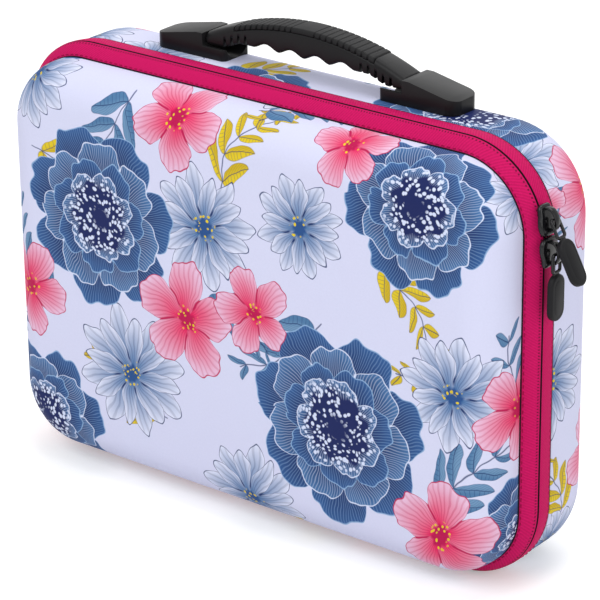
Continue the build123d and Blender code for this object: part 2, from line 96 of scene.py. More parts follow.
# Net pocket and tray, in millimetres
NET_BORDER_WIDTH = 236.0
NET_BORDER_HEIGHT = 132.0
NET_BORDER_RADIUS = 12.0
NET_BORDER = 7.0
NET_BACK = -27.4
NET_BELLY = 0.5
NET_LIFT = 1.6
NET_THICKNESS = 0.4
TRAY_FRONT = 8.0
TRAY_BACK = 46.2
TRAY_INSET = 7.0
TRAY_CHAMFER = 12.6
POCKET_FLOOR = 34.0
POCKET_HALF = 13.25
POCKET_RADIUS = 5.0

# Handle, in millimetres
HANDLE_X = 3.0
HANDLE_Y = 27.0
GRIP_HALF = 59.5
GRIP_HALF_WIDTH = 7.7
GRIP_CROWN = 24.6
GRIP_END_TOP = 12.0
GRIP_END_BOTTOM = 6.4
GRIP_BELLY = 10.0
PAD_HALF = 42.0
PAD_DEPTH = 2.4
PAD_PLATE_HALF = 6.2
PAD_END_GAP = 0.3
PAD_SIDE_GAP = 0.05
PAD_GROOVE_DEPTH = 0.25
PAD_GROOVE_SIDE = 0.8
GRIP_BELLY_RADIUS = 1.6
GRIP_CROWN_RADIUS = 3.2
GRIP_SEAT_RADIUS = 1.2
END_ROUND = 0.9
SCALLOP_REACH = 30.4
SCALLOP_PITCH = 15.2
SCALLOP_DEPTH = 2.6
RIGHT_SLOTS = 5
LEFT_SLOTS = 4
SLOT_FIRST_X = 34.6
SLOT_PITCH = 4.3
SLOT_DEPTH = 3.8
SLOT_HALF = 0.65
SLOT_SLOPE = 0.3
FOOT_START_X = 37.0
FOOT_RUN = 13.0
BRACKET_BEVEL = 0.9

# Jars, in millimetres
JAR_COLUMNS = 10
JAR_ROWS = 6
JAR_PITCH_X = 27.8
JAR_PITCH_Z = 29.5
JAR_BOTTOM = 33.8
JAR_MOUTH = -4.2
CAP_FRONT = -12.2
JAR_RADIUS = 12.9
JAR_MIDDLE_Y = 8.0
CAP_RADIUS = 13.4
FILL_RADIUS = 11.5
FILL_TOP = 2.8

# Sliders, in millimetres and degrees
PIVOT_LIFT = 6.2
LOWER_SLIDER_Z = 173.4
UPPER_ANGLE = 15.0
UPPER_PULL_TILT = 28.0
BRIDGE_RADIUS = 5.3
BRIDGE_FOOT = 2.4
BRIDGE_WIDTH = 3.4
BRIDGE_DEPTH = 1.5
LINK_HALF = 2.9
LINK_LENGTH = 8.8
LINK_RADIUS = 1.3
LINK_WIRE = 1.6
TAB_TOP = -9.7
TAB_BOTTOM = -32.2
TAB_HALF = 5.25
TAB_ROUND = 4.9
TAB_HALF_DEPTH = 1.65
TAB_RIM = 1.0


class CaseSizes(bpy.types.PropertyGroup):
    """Sizes of the case's sewn and moulded detail."""

    face_dome: FloatProperty(
        name="Face dome", description="How far the middle of a printed face stands out",
        default=0.0012, unit="LENGTH",
    )
    tape_swell: FloatProperty(
        name="Tape swell", description="How far the zipper tape rounds out between its edges",
        default=0.0008, unit="LENGTH",
    )
    hem_roll: FloatProperty(
        name="Hem roll", description="Radius of the turned edge of the printed cloth",
        default=0.0009, unit="LENGTH",
    )
    tooth_pitch: FloatProperty(
        name="Tooth pitch", description="Distance between the turns of the zipper coil",
        default=0.0016, unit="LENGTH",
    )
    stitch_pitch: FloatProperty(
        name="Stitch pitch", description="Distance between stitches along the tape",
        default=0.0032, unit="LENGTH",
    )
    weave_pitch: FloatProperty(
        name="Weave pitch", description="Distance between threads of the printed cloth",
        default=0.0007, unit="LENGTH",
    )
    print_scale: FloatProperty(
        name="Print scale", description="Scale of the floral print", default=1.0, min=0.2, max=4.0,
    )
    grip_ribs: IntProperty(
        name="Grip ribs", description="Number of ribs across the soft pad of the grip",
        default=24, min=4, max=60,
    )


class CaseColours(bpy.types.PropertyGroup):
    """Colours of the case."""

    ground: FloatVectorProperty(
        name="Print ground", description="Pale lavender ground of the print",
        subtype="COLOR", default=(0.63, 0.635, 0.82), min=0, max=1,
    )
    tape: FloatVectorProperty(
        name="Tape", description="Pink of the zipper tape", subtype="COLOR",
        default=(0.64, 0.008, 0.125), min=0, max=1,
    )
    lining: FloatVectorProperty(
        name="Lining", description="Dark knit inside the shells", subtype="COLOR",
        default=(0.022, 0.022, 0.026), min=0, max=1,
    )
    plastic: FloatVectorProperty(
        name="Handle plastic", description="Black of the handle and sliders", subtype="COLOR",
        default=(0.0045, 0.0045, 0.0052), min=0, max=1,
    )


def sizes():
    """The sizes that a user may change."""
    return bpy.context.scene.case_sizes


def colours():
    """The colours that a user may change."""
    return bpy.context.scene.case_colours


def in_mm(length):
    """Length property as millimetres."""
    return length / MM


# Node trees written as arithmetic


class Wire:
    """A number that runs through a node tree, so that formulas read as arithmetic."""

    def __init__(self, tree, socket):
        self.tree = tree
        self.socket = socket

    def math(self, operation, *others):
        node = self.tree.nodes.new("ShaderNodeMath")
        node.operation = operation
        for slot, value in enumerate((self, *others)):
            plug(self.tree, value, node.inputs[slot])
        return Wire(self.tree, node.outputs[0])

    def __add__(self, other):
        return self.math("ADD", other)

    def __sub__(self, other):
        return self.math("SUBTRACT", other)

    def __mul__(self, other):
        return self.math("MULTIPLY", other)

    def __truediv__(self, other):
        return self.math("DIVIDE", other)

    def __radd__(self, other):
        return self + other

    def __rmul__(self, other):
        return self * other

    def __rsub__(self, other):
        return (self * -1.0) + other

    def clamp(self):
        return self.math("MAXIMUM", 0.0).math("MINIMUM", 1.0)


def plug(tree, value, socket):
    """Links a wire to a socket, or sets the socket to a plain value."""
    if isinstance(value, Wire):
        tree.links.new(value.socket, socket)
    else:
        socket.default_value = value


def split(tree, vector):
    """The three numbers of a vector."""
    node = tree.nodes.new("ShaderNodeSeparateXYZ")
    plug(tree, vector, node.inputs[0])
    return [Wire(tree, output) for output in node.outputs]


def join(tree, x, y, z=0.0):
    """Vector made of three numbers."""
    node = tree.nodes.new("ShaderNodeCombineXYZ")
    for slot, value in enumerate((x, y, z)):
        plug(tree, value, node.inputs[slot])
    return Wire(tree, node.outputs[0])


def vector_math(tree, operation, *values):
    """Vector worked out from vectors, one number by one."""
    node = tree.nodes.new("ShaderNodeVectorMath")
    node.operation = operation
    for slot, value in enumerate(values):
        plug(tree, value, node.inputs[slot])
    return Wire(tree, node.outputs[0])


def scaled(tree, vector, factor):
    """Vector times a number."""
    node = tree.nodes.new("ShaderNodeVectorMath")
    node.operation = "SCALE"
    plug(tree, vector, node.inputs[0])
    plug(tree, factor, node.inputs[3])
    return Wire(tree, node.outputs[0])


def blended(tree, factor, first, second, mode="MIX"):
    """Colour between two colours."""
    node = tree.nodes.new("ShaderNodeMix")
    node.data_type = "RGBA"
    node.blend_type = mode
    plug(tree, factor, node.inputs[0])
    plug(tree, first, node.inputs[6])
    plug(tree, second, node.inputs[7])
    return Wire(tree, node.outputs[2])


def noise(tree, vector, scale, detail=2.0, roughness=0.5, output=0):
    """Soft random pattern, as a number or, with output Color, as a vector."""
    node = tree.nodes.new("ShaderNodeTexNoise")
    node.inputs["Detail"].default_value = detail
    node.inputs["Roughness"].default_value = roughness
    plug(tree, scale, node.inputs["Scale"])
    plug(tree, vector, node.inputs["Vector"])
    return Wire(tree, node.outputs[output])


def cell_distance(tree, vector, scale):
    """Distance from the middle of the nearest cell, for dots, beads and pores."""
    node = tree.nodes.new("ShaderNodeTexVoronoi")
    node.inputs["Scale"].default_value = scale
    plug(tree, vector, node.inputs["Vector"])
    return Wire(tree, node.outputs["Distance"])


def rgba(colour):
    """Colour with full opacity."""
    return (*tuple(colour)[:3], 1.0)


def new_group(name, inputs, outputs):
    """Empty shader group with named sockets, and its inputs as wires."""
    group = bpy.data.node_groups.new(name, "ShaderNodeTree")
    for label, kind, default in inputs:
        socket = group.interface.new_socket(label, in_out="INPUT", socket_type=kind)
        if default is not None:
            socket.default_value = default
    for label, kind in outputs:
        group.interface.new_socket(label, in_out="OUTPUT", socket_type=kind)
    source = group.nodes.new("NodeGroupInput")
    wires = {label: Wire(group, source.outputs[label]) for label, kind, default in inputs}
    return group, wires


def end_group(group, results):
    """Joins the results of a group to its named outputs."""
    sink = group.nodes.new("NodeGroupOutput")
    for label, wire in results.items():
        plug(group, wire, sink.inputs[label])


def use_group(tree, name, **values):
    """Places a group in a tree and returns its outputs as wires."""
    node = tree.nodes.new("ShaderNodeGroup")
    node.node_tree = bpy.data.node_groups[name]
    for label, value in values.items():
        plug(tree, value, node.inputs[label.replace("_", " ")])
    return {output.name: Wire(tree, output) for output in node.outputs}


NUMBER = "NodeSocketFloat"
VECTOR = "NodeSocketVector"
COLOUR = "NodeSocketColor"
TILE = (296.0, 236.0, 100.0)


def around(tree, place, centre):
    """Place seen from a motif's centre, on a print that repeats."""
    away = vector_math(tree, "SUBTRACT", place, centre)
    half = tuple(size / 2 for size in TILE)
    low = tuple(-size / 2 for size in TILE)
    return vector_math(tree, "WRAP", away, half, low)


def build_blossom_group():
    """Flower in line work: rounded or pointed petals, fine veins, dark heart with pale dots."""
    group, given = new_group(
        "print_blossom",
        [("Ground", COLOUR, None), ("Place", VECTOR, None), ("Centre", VECTOR, None),
         ("Radius", NUMBER, 30.0), ("Turn", NUMBER, 0.0), ("Petals", NUMBER, 6.0),
         ("Notch", NUMBER, 0.35), ("Point", NUMBER, 2.4), ("Ruffle", NUMBER, 0.03),
         ("Veins", NUMBER, 7.0), ("Vein Strength", NUMBER, 0.6),
         ("Rim", COLOUR, None), ("Body", COLOUR, None), ("Line", COLOUR, None),
         ("Heart", COLOUR, None), ("Heart Size", NUMBER, 0.3), ("Dots", COLOUR, None),
         ("Dot Amount", NUMBER, 0.3), ("Shadow", NUMBER, 0.0)],
        [("Colour", COLOUR)],
    )
    x, y = split(group, around(group, given["Place"], given["Centre"]))[:2]
    distance = (x * x + y * y).math("SQRT")
    radius = distance / given["Radius"]
    angle = y.math("ARCTAN2", x) + given["Turn"]
    phase = angle * given["Petals"] / (2 * math.pi)
    petal = phase.math("FLOOR")
    local = phase - petal - 0.5
    across = local.math("ABSOLUTE") * 2.0
    sway = (angle * 17.0 + petal * 2.3).math("SINE") * given["Ruffle"]
    sway = sway + (angle * 29.0).math("SINE") * given["Ruffle"] * 0.5
    size = 1.0 - given["Notch"] * across.math("POWER", given["Point"]) + sway
    reach = radius / size
    inside = ((1.0 - reach) * given["Radius"] / 0.35).clamp()
    rim_line = (2.2 - (1.0 - reach) * given["Radius"] / 0.45).clamp()
    side_width = (1.0 - across) * radius * given["Radius"] * math.pi / given["Petals"]
    side_line = (1.4 - side_width / 0.6).clamp() * ((radius - given["Heart Size"]) * 12.0).clamp()
    lines = rim_line.math("MAXIMUM", side_line)
    bend = local + (radius * 5.0).math("SINE") * 0.035
    wave = (bend * given["Veins"] * (2 * math.pi)).math("SINE")
    vein = ((wave - 0.15) * 1.6).clamp() * (1.0 - (reach * 1.15 - 0.55).clamp() * 0.7)
    lit = ((reach - given["Shadow"]) / (1.0 - given["Shadow"])).clamp()
    rise = (lit.math("POWER", 1.6) * 1.05 - local * 0.28).clamp()
    colour = blended(group, rise, given["Body"], given["Rim"])
    side_shade = ((across - 0.55) * 1.6).clamp() * 0.4
    colour = blended(group, side_shade, colour, given["Body"])
    colour = blended(group, vein * given["Vein Strength"], colour, given["Line"])
    colour = blended(group, lines, colour, given["Line"])
    heart_edge = given["Heart Size"] * (1.0 + (angle * 9.0).math("SINE") * 0.09)
    heart = ((heart_edge - radius) * given["Radius"] / 1.6).clamp()
    colour = blended(group, heart, colour, given["Heart"])
    dot = ((given["Dot Amount"] - cell_distance(group, given["Place"], 0.42)) * 8.0).clamp()
    from_ring = (radius - given["Heart Size"] * 0.8).math("ABSOLUTE")
    near = 1.0 - from_ring / (given["Heart Size"] * 0.55)
    colour = blended(group, dot * (near * 3.0).clamp(), colour, given["Dots"])
    end_group(group, {"Colour": blended(group, inside, given["Ground"], colour)})


def build_sprig_group():
    """Stem with pairs of slanting leaves that get smaller to its tip."""
    group, given = new_group(
        "print_sprig",
        [("Ground", COLOUR, None), ("Place", VECTOR, None), ("Start", VECTOR, None),
         ("Turn", NUMBER, 0.0), ("Length", NUMBER, 60.0), ("Spacing", NUMBER, 12.0),
         ("Leaf Length", NUMBER, 24.0), ("Leaf Width", NUMBER, 4.6), ("Bow", NUMBER, 0.12),
         ("Leaf", COLOUR, None), ("Shade", COLOUR, None), ("Line", COLOUR, None)],
        [("Colour", COLOUR)],
    )
    away = around(group, given["Place"], given["Start"])
    turn = group.nodes.new("ShaderNodeVectorRotate")
    turn.rotation_type = "Z_AXIS"
    plug(group, away, turn.inputs["Vector"])
    plug(group, given["Turn"], turn.inputs["Angle"])
    along, side = split(group, Wire(group, turn.outputs[0]))[:2]
    side = side - (along * math.pi / given["Length"]).math("SINE") * given["Bow"] * given["Length"]
    out = side.math("ABSOLUTE")
    skewed = along - out
    cell = (skewed / given["Spacing"]).math("FLOOR")
    middle = (cell + 0.5) * given["Spacing"]
    fade = 1.0 - middle / given["Length"] * 0.62
    leaf_length = given["Leaf Length"] * fade
    run = out * math.sqrt(2) / leaf_length
    swell = (run.clamp() * math.pi).math("SINE").math("POWER", 0.75)
    half_width = swell * given["Leaf Width"] * fade
    offset = (skewed - middle) / math.sqrt(2)
    on_stem = (middle * 0.5).clamp() * ((given["Length"] - middle) * 0.5).clamp()
    leaf = ((half_width - offset.math("ABSOLUTE")) / 0.3).clamp() * on_stem
    rim = 1.0 - ((half_width - offset.math("ABSOLUTE")) / 0.5).clamp()
    rib = 1.0 - (offset.math("ABSOLUTE") / 0.32).clamp()
    side_veins = ((run * 9.0 - offset.math("ABSOLUTE") * 0.45) * (2 * math.pi)).math("SINE")
    veins = ((side_veins - 0.7) * 3.0).clamp() * 0.5
    shade = (offset * 0.28 + 0.5).clamp()
    colour = blended(group, shade, given["Leaf"], given["Shade"])
    colour = blended(group, rib.math("MAXIMUM", rim).math("MAXIMUM", veins), colour, given["Line"])
    result = blended(group, leaf, given["Ground"], colour)
    on_length = (along * 2.0).clamp() * ((given["Length"] - along) * 2.0).clamp()
    stem = (1.0 - out / 0.55).clamp() * on_length
    end_group(group, {"Colour": blended(group, stem, result, given["Line"])})


def build_weave_group():
    """Plain weave: threads over and under each other, with uneven yarn."""
    group, given = new_group(
        "plain_weave",
        [("Place", VECTOR, None), ("Pitch", NUMBER, 0.7)],
        [("Height", NUMBER), ("Tint", NUMBER)],
    )
    x, y = split(group, given["Place"])[:2]
    turn = 2 * math.pi
    warp = (x * turn / given["Pitch"]).math("SINE")
    weft = (y * turn / given["Pitch"]).math("SINE")
    uneven = noise(group, given["Place"], 0.9, 3.0, 0.6)
    height = warp * weft * 0.5 + 0.5
    end_group(group, {"Height": height * 0.7 + uneven * 0.6, "Tint": uneven})


def build_wear_group():
    """Rubbed edges and light dust, from the bend of the surface and a broad noise."""
    group, given = new_group(
        "edge_wear",
        [("Place", VECTOR, None), ("Amount", NUMBER, 0.5)],
        [("Mask", NUMBER)],
    )
    geometry = group.nodes.new("ShaderNodeNewGeometry")
    bend = (Wire(group, geometry.outputs["Pointiness"]) - 0.5) * 9.0
    patchy = noise(group, given["Place"], 55.0, 4.0, 0.65)
    end_group(group, {"Mask": (bend.clamp() * patchy * 1.8 * given["Amount"]).clamp()})


def build_grain_group():
    """Spark-eroded grain of moulded plastic."""
    group, given = new_group(
        "moulded_grain",
        [("Place", VECTOR, None), ("Size", NUMBER, 900.0)],
        [("Height", NUMBER), ("Patch", NUMBER)],
    )
    height = noise(group, given["Place"], given["Size"], 3.0)
    patch = noise(group, given["Place"], 38.0, 3.0, 0.6)
    end_group(group, {"Height": height, "Patch": patch})


def finish_of(name):
    """Finish made by this add-on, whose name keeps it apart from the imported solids' own."""
    return bpy.data.materials[f"case {name}"]


def new_material(name, roughness=0.6, **shader_values):
    """Makes a material, and gives its node tree and its principled shader."""
    material = bpy.data.materials.new(f"case {name}")
    material.use_nodes = True
    tree = material.node_tree
    shader = tree.nodes["Principled BSDF"]
    shader.inputs["Roughness"].default_value = roughness
    for label, value in shader_values.items():
        shader.inputs[label.replace("_", " ")].default_value = value
    return tree, shader


def seen_directly(tree):
    """One for rays from the camera and through glossy or clear surfaces, nought for light."""
    rays = tree.nodes.new("ShaderNodeLightPath")
    seen = Wire(tree, rays.outputs["Is Camera Ray"])
    seen = seen.math("MAXIMUM", Wire(tree, rays.outputs["Is Glossy Ray"]))
    return seen.math("MAXIMUM", Wire(tree, rays.outputs["Is Transmission Ray"]))


def object_place(tree):
    """Place on a piece, in metres."""
    node = tree.nodes.new("ShaderNodeTexCoord")
    return Wire(tree, node.outputs["Object"])


def flat_place(tree):
    """Millimetres on the unfolded cloth, kept in the UV map."""
    node = tree.nodes.new("ShaderNodeUVMap")
    node.uv_map = "cloth"
    return scaled(tree, Wire(tree, node.outputs[0]), CLOTH_UNIT)


def bump(tree, shader, height, strength, distance):
    """Gives a shader a relief from a height pattern."""
    node = tree.nodes.new("ShaderNodeBump")
    node.inputs["Strength"].default_value = strength
    node.inputs["Distance"].default_value = distance
    plug(tree, height, node.inputs["Height"])
    tree.links.new(node.outputs[0], shader.inputs["Normal"])


NAVY = (0.010, 0.018, 0.095, 1)
DEEP_BLUE = (0.009, 0.030, 0.120, 1)
MID_BLUE = (0.022, 0.076, 0.235, 1)
PETAL_BLUE = (0.032, 0.100, 0.275, 1)
SKY_BLUE = (0.062, 0.165, 0.36, 1)
PALE_BLUE = (0.24, 0.39, 0.62, 1)
ICE = (0.62, 0.68, 0.86, 1)
WHITE = (0.68, 0.71, 0.87, 1)
CRIMSON = (0.46, 0.006, 0.075, 1)
PINK = (0.73, 0.014, 0.105, 1)
BLUSH = (0.75, 0.50, 0.67, 1)
MUSTARD = (0.70, 0.53, 0.02, 1)
OCHRE = (0.58, 0.41, 0.012, 1)
STEEL = (0.075, 0.18, 0.34, 1)
STEEL_SHADE = (0.15, 0.28, 0.45, 1)

# The print's motifs, in the order they lie on each other. Places in millimetres, turns in radians.
SPRIGS = (
    (MUSTARD, OCHRE, (-128, 62), 0.5, 58), (STEEL, STEEL_SHADE, (-66, 104), 2.2, 62),
    (MUSTARD, OCHRE, (-8, 66), -1.0, 52), (STEEL, STEEL_SHADE, (52, 14), 2.5, 60),
    (STEEL, STEEL_SHADE, (118, -66), -0.7, 60), (MUSTARD, OCHRE, (84, 52), 0.9, 50),
    (MUSTARD, OCHRE, (-44, -64), 3.6, 54), (STEEL, STEEL_SHADE, (-118, -26), -2.0, 58),
    (MUSTARD, OCHRE, (28, -88), 2.0, 48), (STEEL, STEEL_SHADE, (-20, 6), 0.4, 46),
    (MUSTARD, OCHRE, (140, 18), 2.7, 50), (STEEL, STEEL_SHADE, (4, 110), -0.3, 50),
)
ROSETTES = (
    ((-84, 34), 47, 0.3), ((62, -38), 50, 1.1), ((106, 82), 41, 0.7), ((-126, -84), 39, 2.0),
)
DAISIES = (
    ((-18, 44), 33, 0.2), ((-66, -44), 36, 0.9), ((128, -4), 31, 0.5), ((40, 58), 27, 1.6),
    ((-132, 100), 29, 0.1), ((8, -92), 31, 1.3),
)
BELLS = (
    ((-30, -6), 30, 0.4), ((12, 8), 23, 1.2), ((-36, 96), 27, 2.1), ((-134, -14), 26, 0.8),
    ((122, -78), 29, 1.7), ((64, 104), 22, 0.2),
)


def print_layers(tree, place, colour):
    """Lays the print's motifs over the ground colour."""
    for leaf, shade, start, turn, length in SPRIGS:
        colour = use_group(
            tree, "print_sprig", Ground=colour, Place=place, Start=(*start, 0), Turn=turn,
            Length=float(length), Leaf=leaf, Shade=shade, Line=DEEP_BLUE,
            Leaf_Length=length * 0.42, Leaf_Width=length * 0.082, Spacing=length * 0.21,
        )["Colour"]
    for centre, radius, turn in DAISIES:
        for share, shift, notch in ((1.0, 0.0, 0.6), (0.86, 0.39, 0.66)):
            colour = use_group(
                tree, "print_blossom", Ground=colour, Place=place, Centre=(*centre, 0),
                Radius=radius * share, Turn=turn + shift, Petals=8.0, Notch=notch, Point=1.5,
                Ruffle=0.01, Veins=6.0, Vein_Strength=0.34, Rim=WHITE, Body=SKY_BLUE,
                Line=DEEP_BLUE, Heart=MID_BLUE, Heart_Size=0.19, Dots=MUSTARD, Dot_Amount=0.36,
            )["Colour"]
    for centre, radius, turn in ROSETTES:
        for share, shift, rim, body, line, heart in (
            (1.0, 0.0, PETAL_BLUE, NAVY, PALE_BLUE, 0.2),
            (0.82, 0.4, SKY_BLUE, DEEP_BLUE, ICE, 0.2),
            (0.64, 0.9, PETAL_BLUE, NAVY, PALE_BLUE, 0.2),
            (0.50, 1.5, SKY_BLUE, NAVY, ICE, 0.74),
        ):
            colour = use_group(
                tree, "print_blossom", Ground=colour, Place=place, Centre=(*centre, 0),
                Radius=radius * share, Turn=turn + shift, Petals=7.0, Notch=0.2, Point=3.0,
                Ruffle=0.02, Veins=22.0 * share + 4.0, Vein_Strength=0.42, Rim=rim, Body=body,
                Line=line, Heart=NAVY, Heart_Size=heart, Dots=ICE, Dot_Amount=0.46, Shadow=0.56,
            )["Colour"]
    for centre, radius, turn in BELLS:
        colour = use_group(
            tree, "print_blossom", Ground=colour, Place=place, Centre=(*centre, 0),
            Radius=float(radius), Turn=turn, Petals=5.0, Notch=0.46, Point=2.6, Ruffle=0.022,
            Veins=10.0, Vein_Strength=0.4, Rim=BLUSH, Body=PINK, Line=CRIMSON,
            Heart=CRIMSON, Heart_Size=0.2, Dots=MUSTARD, Dot_Amount=0.36,
        )["Colour"]
    return colour


def print_material():
    """Printed cloth of the shells: motifs that drift a little, over a fine weave."""
    tree, shader = new_material("printed_cloth", 0.62, Specular_IOR_Level=0.12)
    place = scaled(tree, flat_place(tree), 1.0 / sizes().print_scale)
    drift = noise(tree, place, 0.045, output="Color")
    shift = vector_math(tree, "SUBTRACT", drift, (0.5, 0.5, 0.5))
    drawn = vector_math(tree, "ADD", place, scaled(tree, shift, 9.0))
    ground = blended(tree, noise(tree, place, 0.02, 2.0) * 0.35, rgba(colours().ground), ICE)
    colour = print_layers(tree, drawn, ground)
    weave = use_group(tree, "plain_weave", Place=place, Pitch=in_mm(sizes().weave_pitch))
    colour = blended(tree, weave["Tint"] * 0.16, colour, (0.5, 0.5, 0.56, 1), "MULTIPLY")
    plug(tree, colour, shader.inputs["Base Color"])
    wear = use_group(tree, "edge_wear", Place=object_place(tree), Amount=0.3)["Mask"]
    plug(tree, wear * 0.15 + weave["Tint"] * 0.12 + 0.54, shader.inputs["Roughness"])
    bump(tree, shader, weave["Height"], 0.22, 0.00015)


def thin_line(away, half_width):
    """Mask of a line, from metres away from its middle and its half width in millimetres."""
    return ((half_width * MM - away.math("ABSOLUTE")) * 4000.0).clamp()


def cloth_material(name, colour, pitch, painted_shadow_width=0.0, roughness=0.72, sheen=0.0):
    """Woven or knitted cloth, laid out on its UV map, with painted shadow along its sewn edge and
    painted shade along the seam when asked.
    """
    tree, shader = new_material(
        name, roughness, Specular_IOR_Level=0.07, Sheen_Weight=sheen, Sheen_Roughness=0.45
    )
    place = flat_place(tree)
    weave = use_group(tree, "plain_weave", Place=place, Pitch=pitch)
    along, across = split(tree, place)[:2]
    rib = ((along + across * 0.6) * (2 * math.pi / (pitch * 1.7))).math("SINE") * 0.5 + 0.5
    shade = weave["Tint"] * 0.5 + rib * 0.28
    dark = tuple(channel * 0.45 for channel in colour)
    tint = blended(tree, shade, rgba(colour), rgba(dark))
    # Painted shadow of the shell's edge along the tape's sewn side, painted shade in the gap of the
    # seam, and dark dots for the coil's teeth, all in one near-black colour
    if painted_shadow_width:
        edge = ((painted_shadow_width - across) * 2.2).clamp()
        seam_side = split(tree, object_place(tree))[1]
        # Painted shade of the narrow gap between the two tapes
        seam = thin_line(seam_side, SEAM_SHADE_HALF)
        beat = (along * (2 * math.pi / in_mm(sizes().tooth_pitch))).math("SINE")
        row = thin_line(seam_side - TOOTH_ROW_Y * MM, TOOTH_ROW_HALF)
        teeth = row * (beat * 2.0).clamp() * 0.75
        edge = edge.math("MAXIMUM", seam).math("MAXIMUM", teeth)
        tint = blended(tree, edge, tint, (0.012, 0.006, 0.012, 1))
    plug(tree, tint, shader.inputs["Base Color"])
    plug(tree, weave["Tint"] * 0.2 + (roughness - 0.1), shader.inputs["Roughness"])
    bump(tree, shader, weave["Height"] + rib * 0.7, 0.4, 0.00018)


def plastic_material(name, colour, roughness, grain, strength, wear=0.5, **shader_values):
    """Moulded plastic or rubber with grain and rubbed edges."""
    tree, shader = new_material(name, roughness, **shader_values)
    place = object_place(tree)
    surface = use_group(tree, "moulded_grain", Place=place, Size=grain)
    worn = use_group(tree, "edge_wear", Place=place, Amount=wear)["Mask"]
    light = tuple(min(channel * 2.4 + 0.012, 1.0) for channel in colour)
    tint = blended(tree, worn * 0.6 + surface["Patch"] * 0.12, rgba(colour), rgba(light))
    plug(tree, tint, shader.inputs["Base Color"])
    rough = surface["Patch"] * 0.16 + worn * 0.12 + (roughness - 0.08)
    plug(tree, rough, shader.inputs["Roughness"])
    bump(tree, shader, surface["Height"], strength, 0.0001)


def metal_material(name, colour, roughness):
    """Drawn or turned steel with fine lines."""
    tree, shader = new_material(name, roughness, Metallic=1.0)
    place = object_place(tree)
    stretched = vector_math(tree, "MULTIPLY", place, (40.0, 900.0, 900.0))
    lines = noise(tree, stretched, 1.0, 3.0, 0.6)
    dark = tuple(channel * 0.6 for channel in colour)
    plug(tree, blended(tree, lines, rgba(colour), rgba(dark)), shader.inputs["Base Color"])
    plug(tree, lines * 0.2 + (roughness - 0.08), shader.inputs["Roughness"])
    bump(tree, shader, lines, 0.2, 0.00005)


def clear_material(name, colour, roughness):
    """Clear moulded plastic with a faint flow pattern."""
    tree, shader = new_material(name, roughness, Transmission_Weight=0.96, IOR=1.45)
    flow = noise(tree, object_place(tree), 130.0, 2.0)
    tint = blended(tree, flow * 0.3, rgba(colour), (0.84, 0.88, 0.9, 1))
    plug(tree, tint, shader.inputs["Base Color"])
    plug(tree, flow * 0.08 + (roughness - 0.03), shader.inputs["Roughness"])


def bead_material():
    """Mixed beads, one colour family to a jar."""
    tree, shader = new_material("bead_fill", 0.3, Coat_Weight=0.4)
    place = object_place(tree)
    bead = cell_distance(tree, place, 420.0)
    x, z = split(tree, place)[::2]
    column = (x / (JAR_PITCH_X * MM)).math("FLOOR")
    row = ((z - CASE_TOP / 2 * MM) / (JAR_PITCH_Z * MM)).math("FLOOR")
    hue = (column * 0.137 + row * 0.311 + 5.0).math("FRACT")
    node = tree.nodes.new("ShaderNodeCombineColor")
    node.mode = "HSV"
    plug(tree, hue, node.inputs[0])
    node.inputs[1].default_value = 0.78
    node.inputs[2].default_value = 0.6
    tint = blended(tree, bead * 0.3, Wire(tree, node.outputs[0]), (0.9, 0.9, 0.92, 1))
    plug(tree, tint, shader.inputs["Base Color"])
    bump(tree, shader, bead * -1.0, 0.8, 0.0006)


def foam_material():
    """Dark foam with fine pores."""
    tree, shader = new_material("tray_foam", 0.85, Sheen_Weight=0.25)
    pore = cell_distance(tree, object_place(tree), 1300.0)
    tint = blended(tree, pore, (0.016, 0.016, 0.019, 1), (0.05, 0.05, 0.056, 1))
    plug(tree, tint, shader.inputs["Base Color"])
    plug(tree, pore * 0.15 + 0.78, shader.inputs["Roughness"])
    bump(tree, shader, pore, 0.5, 0.0003)


def net_material():
    """Knitted net: open diamonds between black threads."""
    tree, shader = new_material("net_mesh", 0.7, Sheen_Weight=0.2)
    x, y = split(tree, flat_place(tree))[:2]
    pitch = 2.6
    first = ((x + y) * (math.pi / pitch)).math("SINE").math("ABSOLUTE")
    second = ((x - y) * (math.pi / pitch)).math("SINE").math("ABSOLUTE")
    thread = ((0.42 - first.math("MINIMUM", second)) * 9.0).clamp()
    tint = blended(tree, first, (0.014, 0.014, 0.017, 1), (0.04, 0.04, 0.045, 1))
    plug(tree, tint, shader.inputs["Base Color"])
    plug(tree, thread, shader.inputs["Alpha"])
    bump(tree, shader, thread, 0.5, 0.0003)


def build_materials():
    """All finishes of the case, by name."""
    for build in (
        build_blossom_group, build_sprig_group, build_weave_group, build_wear_group,
        build_grain_group,
    ):
        build()
    tone = colours()
    print_material()
    cloth_material("zip_tape", tone.tape, 0.85, painted_shadow_width=1.75)
    cloth_material("hinge_cloth", tone.tape, 0.85)
    cloth_material("lining", tone.lining, 1.1, sheen=0.4)
    cloth_material("binding_tape", (0.02, 0.02, 0.023), 0.9)
    cloth_material("stitch_thread", (0.36, 0.005, 0.06), 0.4)
    plastic_material("zip_coil", (0.18, 0.006, 0.045), 0.45, 700.0, 0.1)
    matte = {"Specular_IOR_Level": 0.16}
    plastic_material("handle_plastic", tone.plastic, 0.36, 1500.0, 0.14, wear=0.4, **matte)
    plastic_material("pad_rubber", tone.plastic, 0.52, 1900.0, 0.25, wear=0.3, **matte)
    plastic_material(
        "slider_gloss", (0.004, 0.004, 0.005), 0.16, 400.0, 0.03, wear=0.2, Specular_IOR_Level=0.3
    )
    plastic_material("tab_rubber", (0.005, 0.005, 0.006), 0.5, 1700.0, 0.2, wear=0.3, **matte)
    plastic_material("plate_plastic", (0.03, 0.03, 0.033), 0.5, 1200.0, 0.15)
    metal_material("screw_steel", (0.56, 0.56, 0.58), 0.32)
    metal_material("stop_metal", (0.62, 0.62, 0.64), 0.25)
    clear_material("jar_clear", (0.96, 0.98, 1.0), 0.06)
    clear_material("cap_clear", (0.95, 0.97, 0.98), 0.16)
    bead_material()
    foam_material()
    net_material()


# Meshes


def point(x, y, z):
    """Place in metres from millimetres."""
    return Vector((x * MM, y * MM, z * MM))


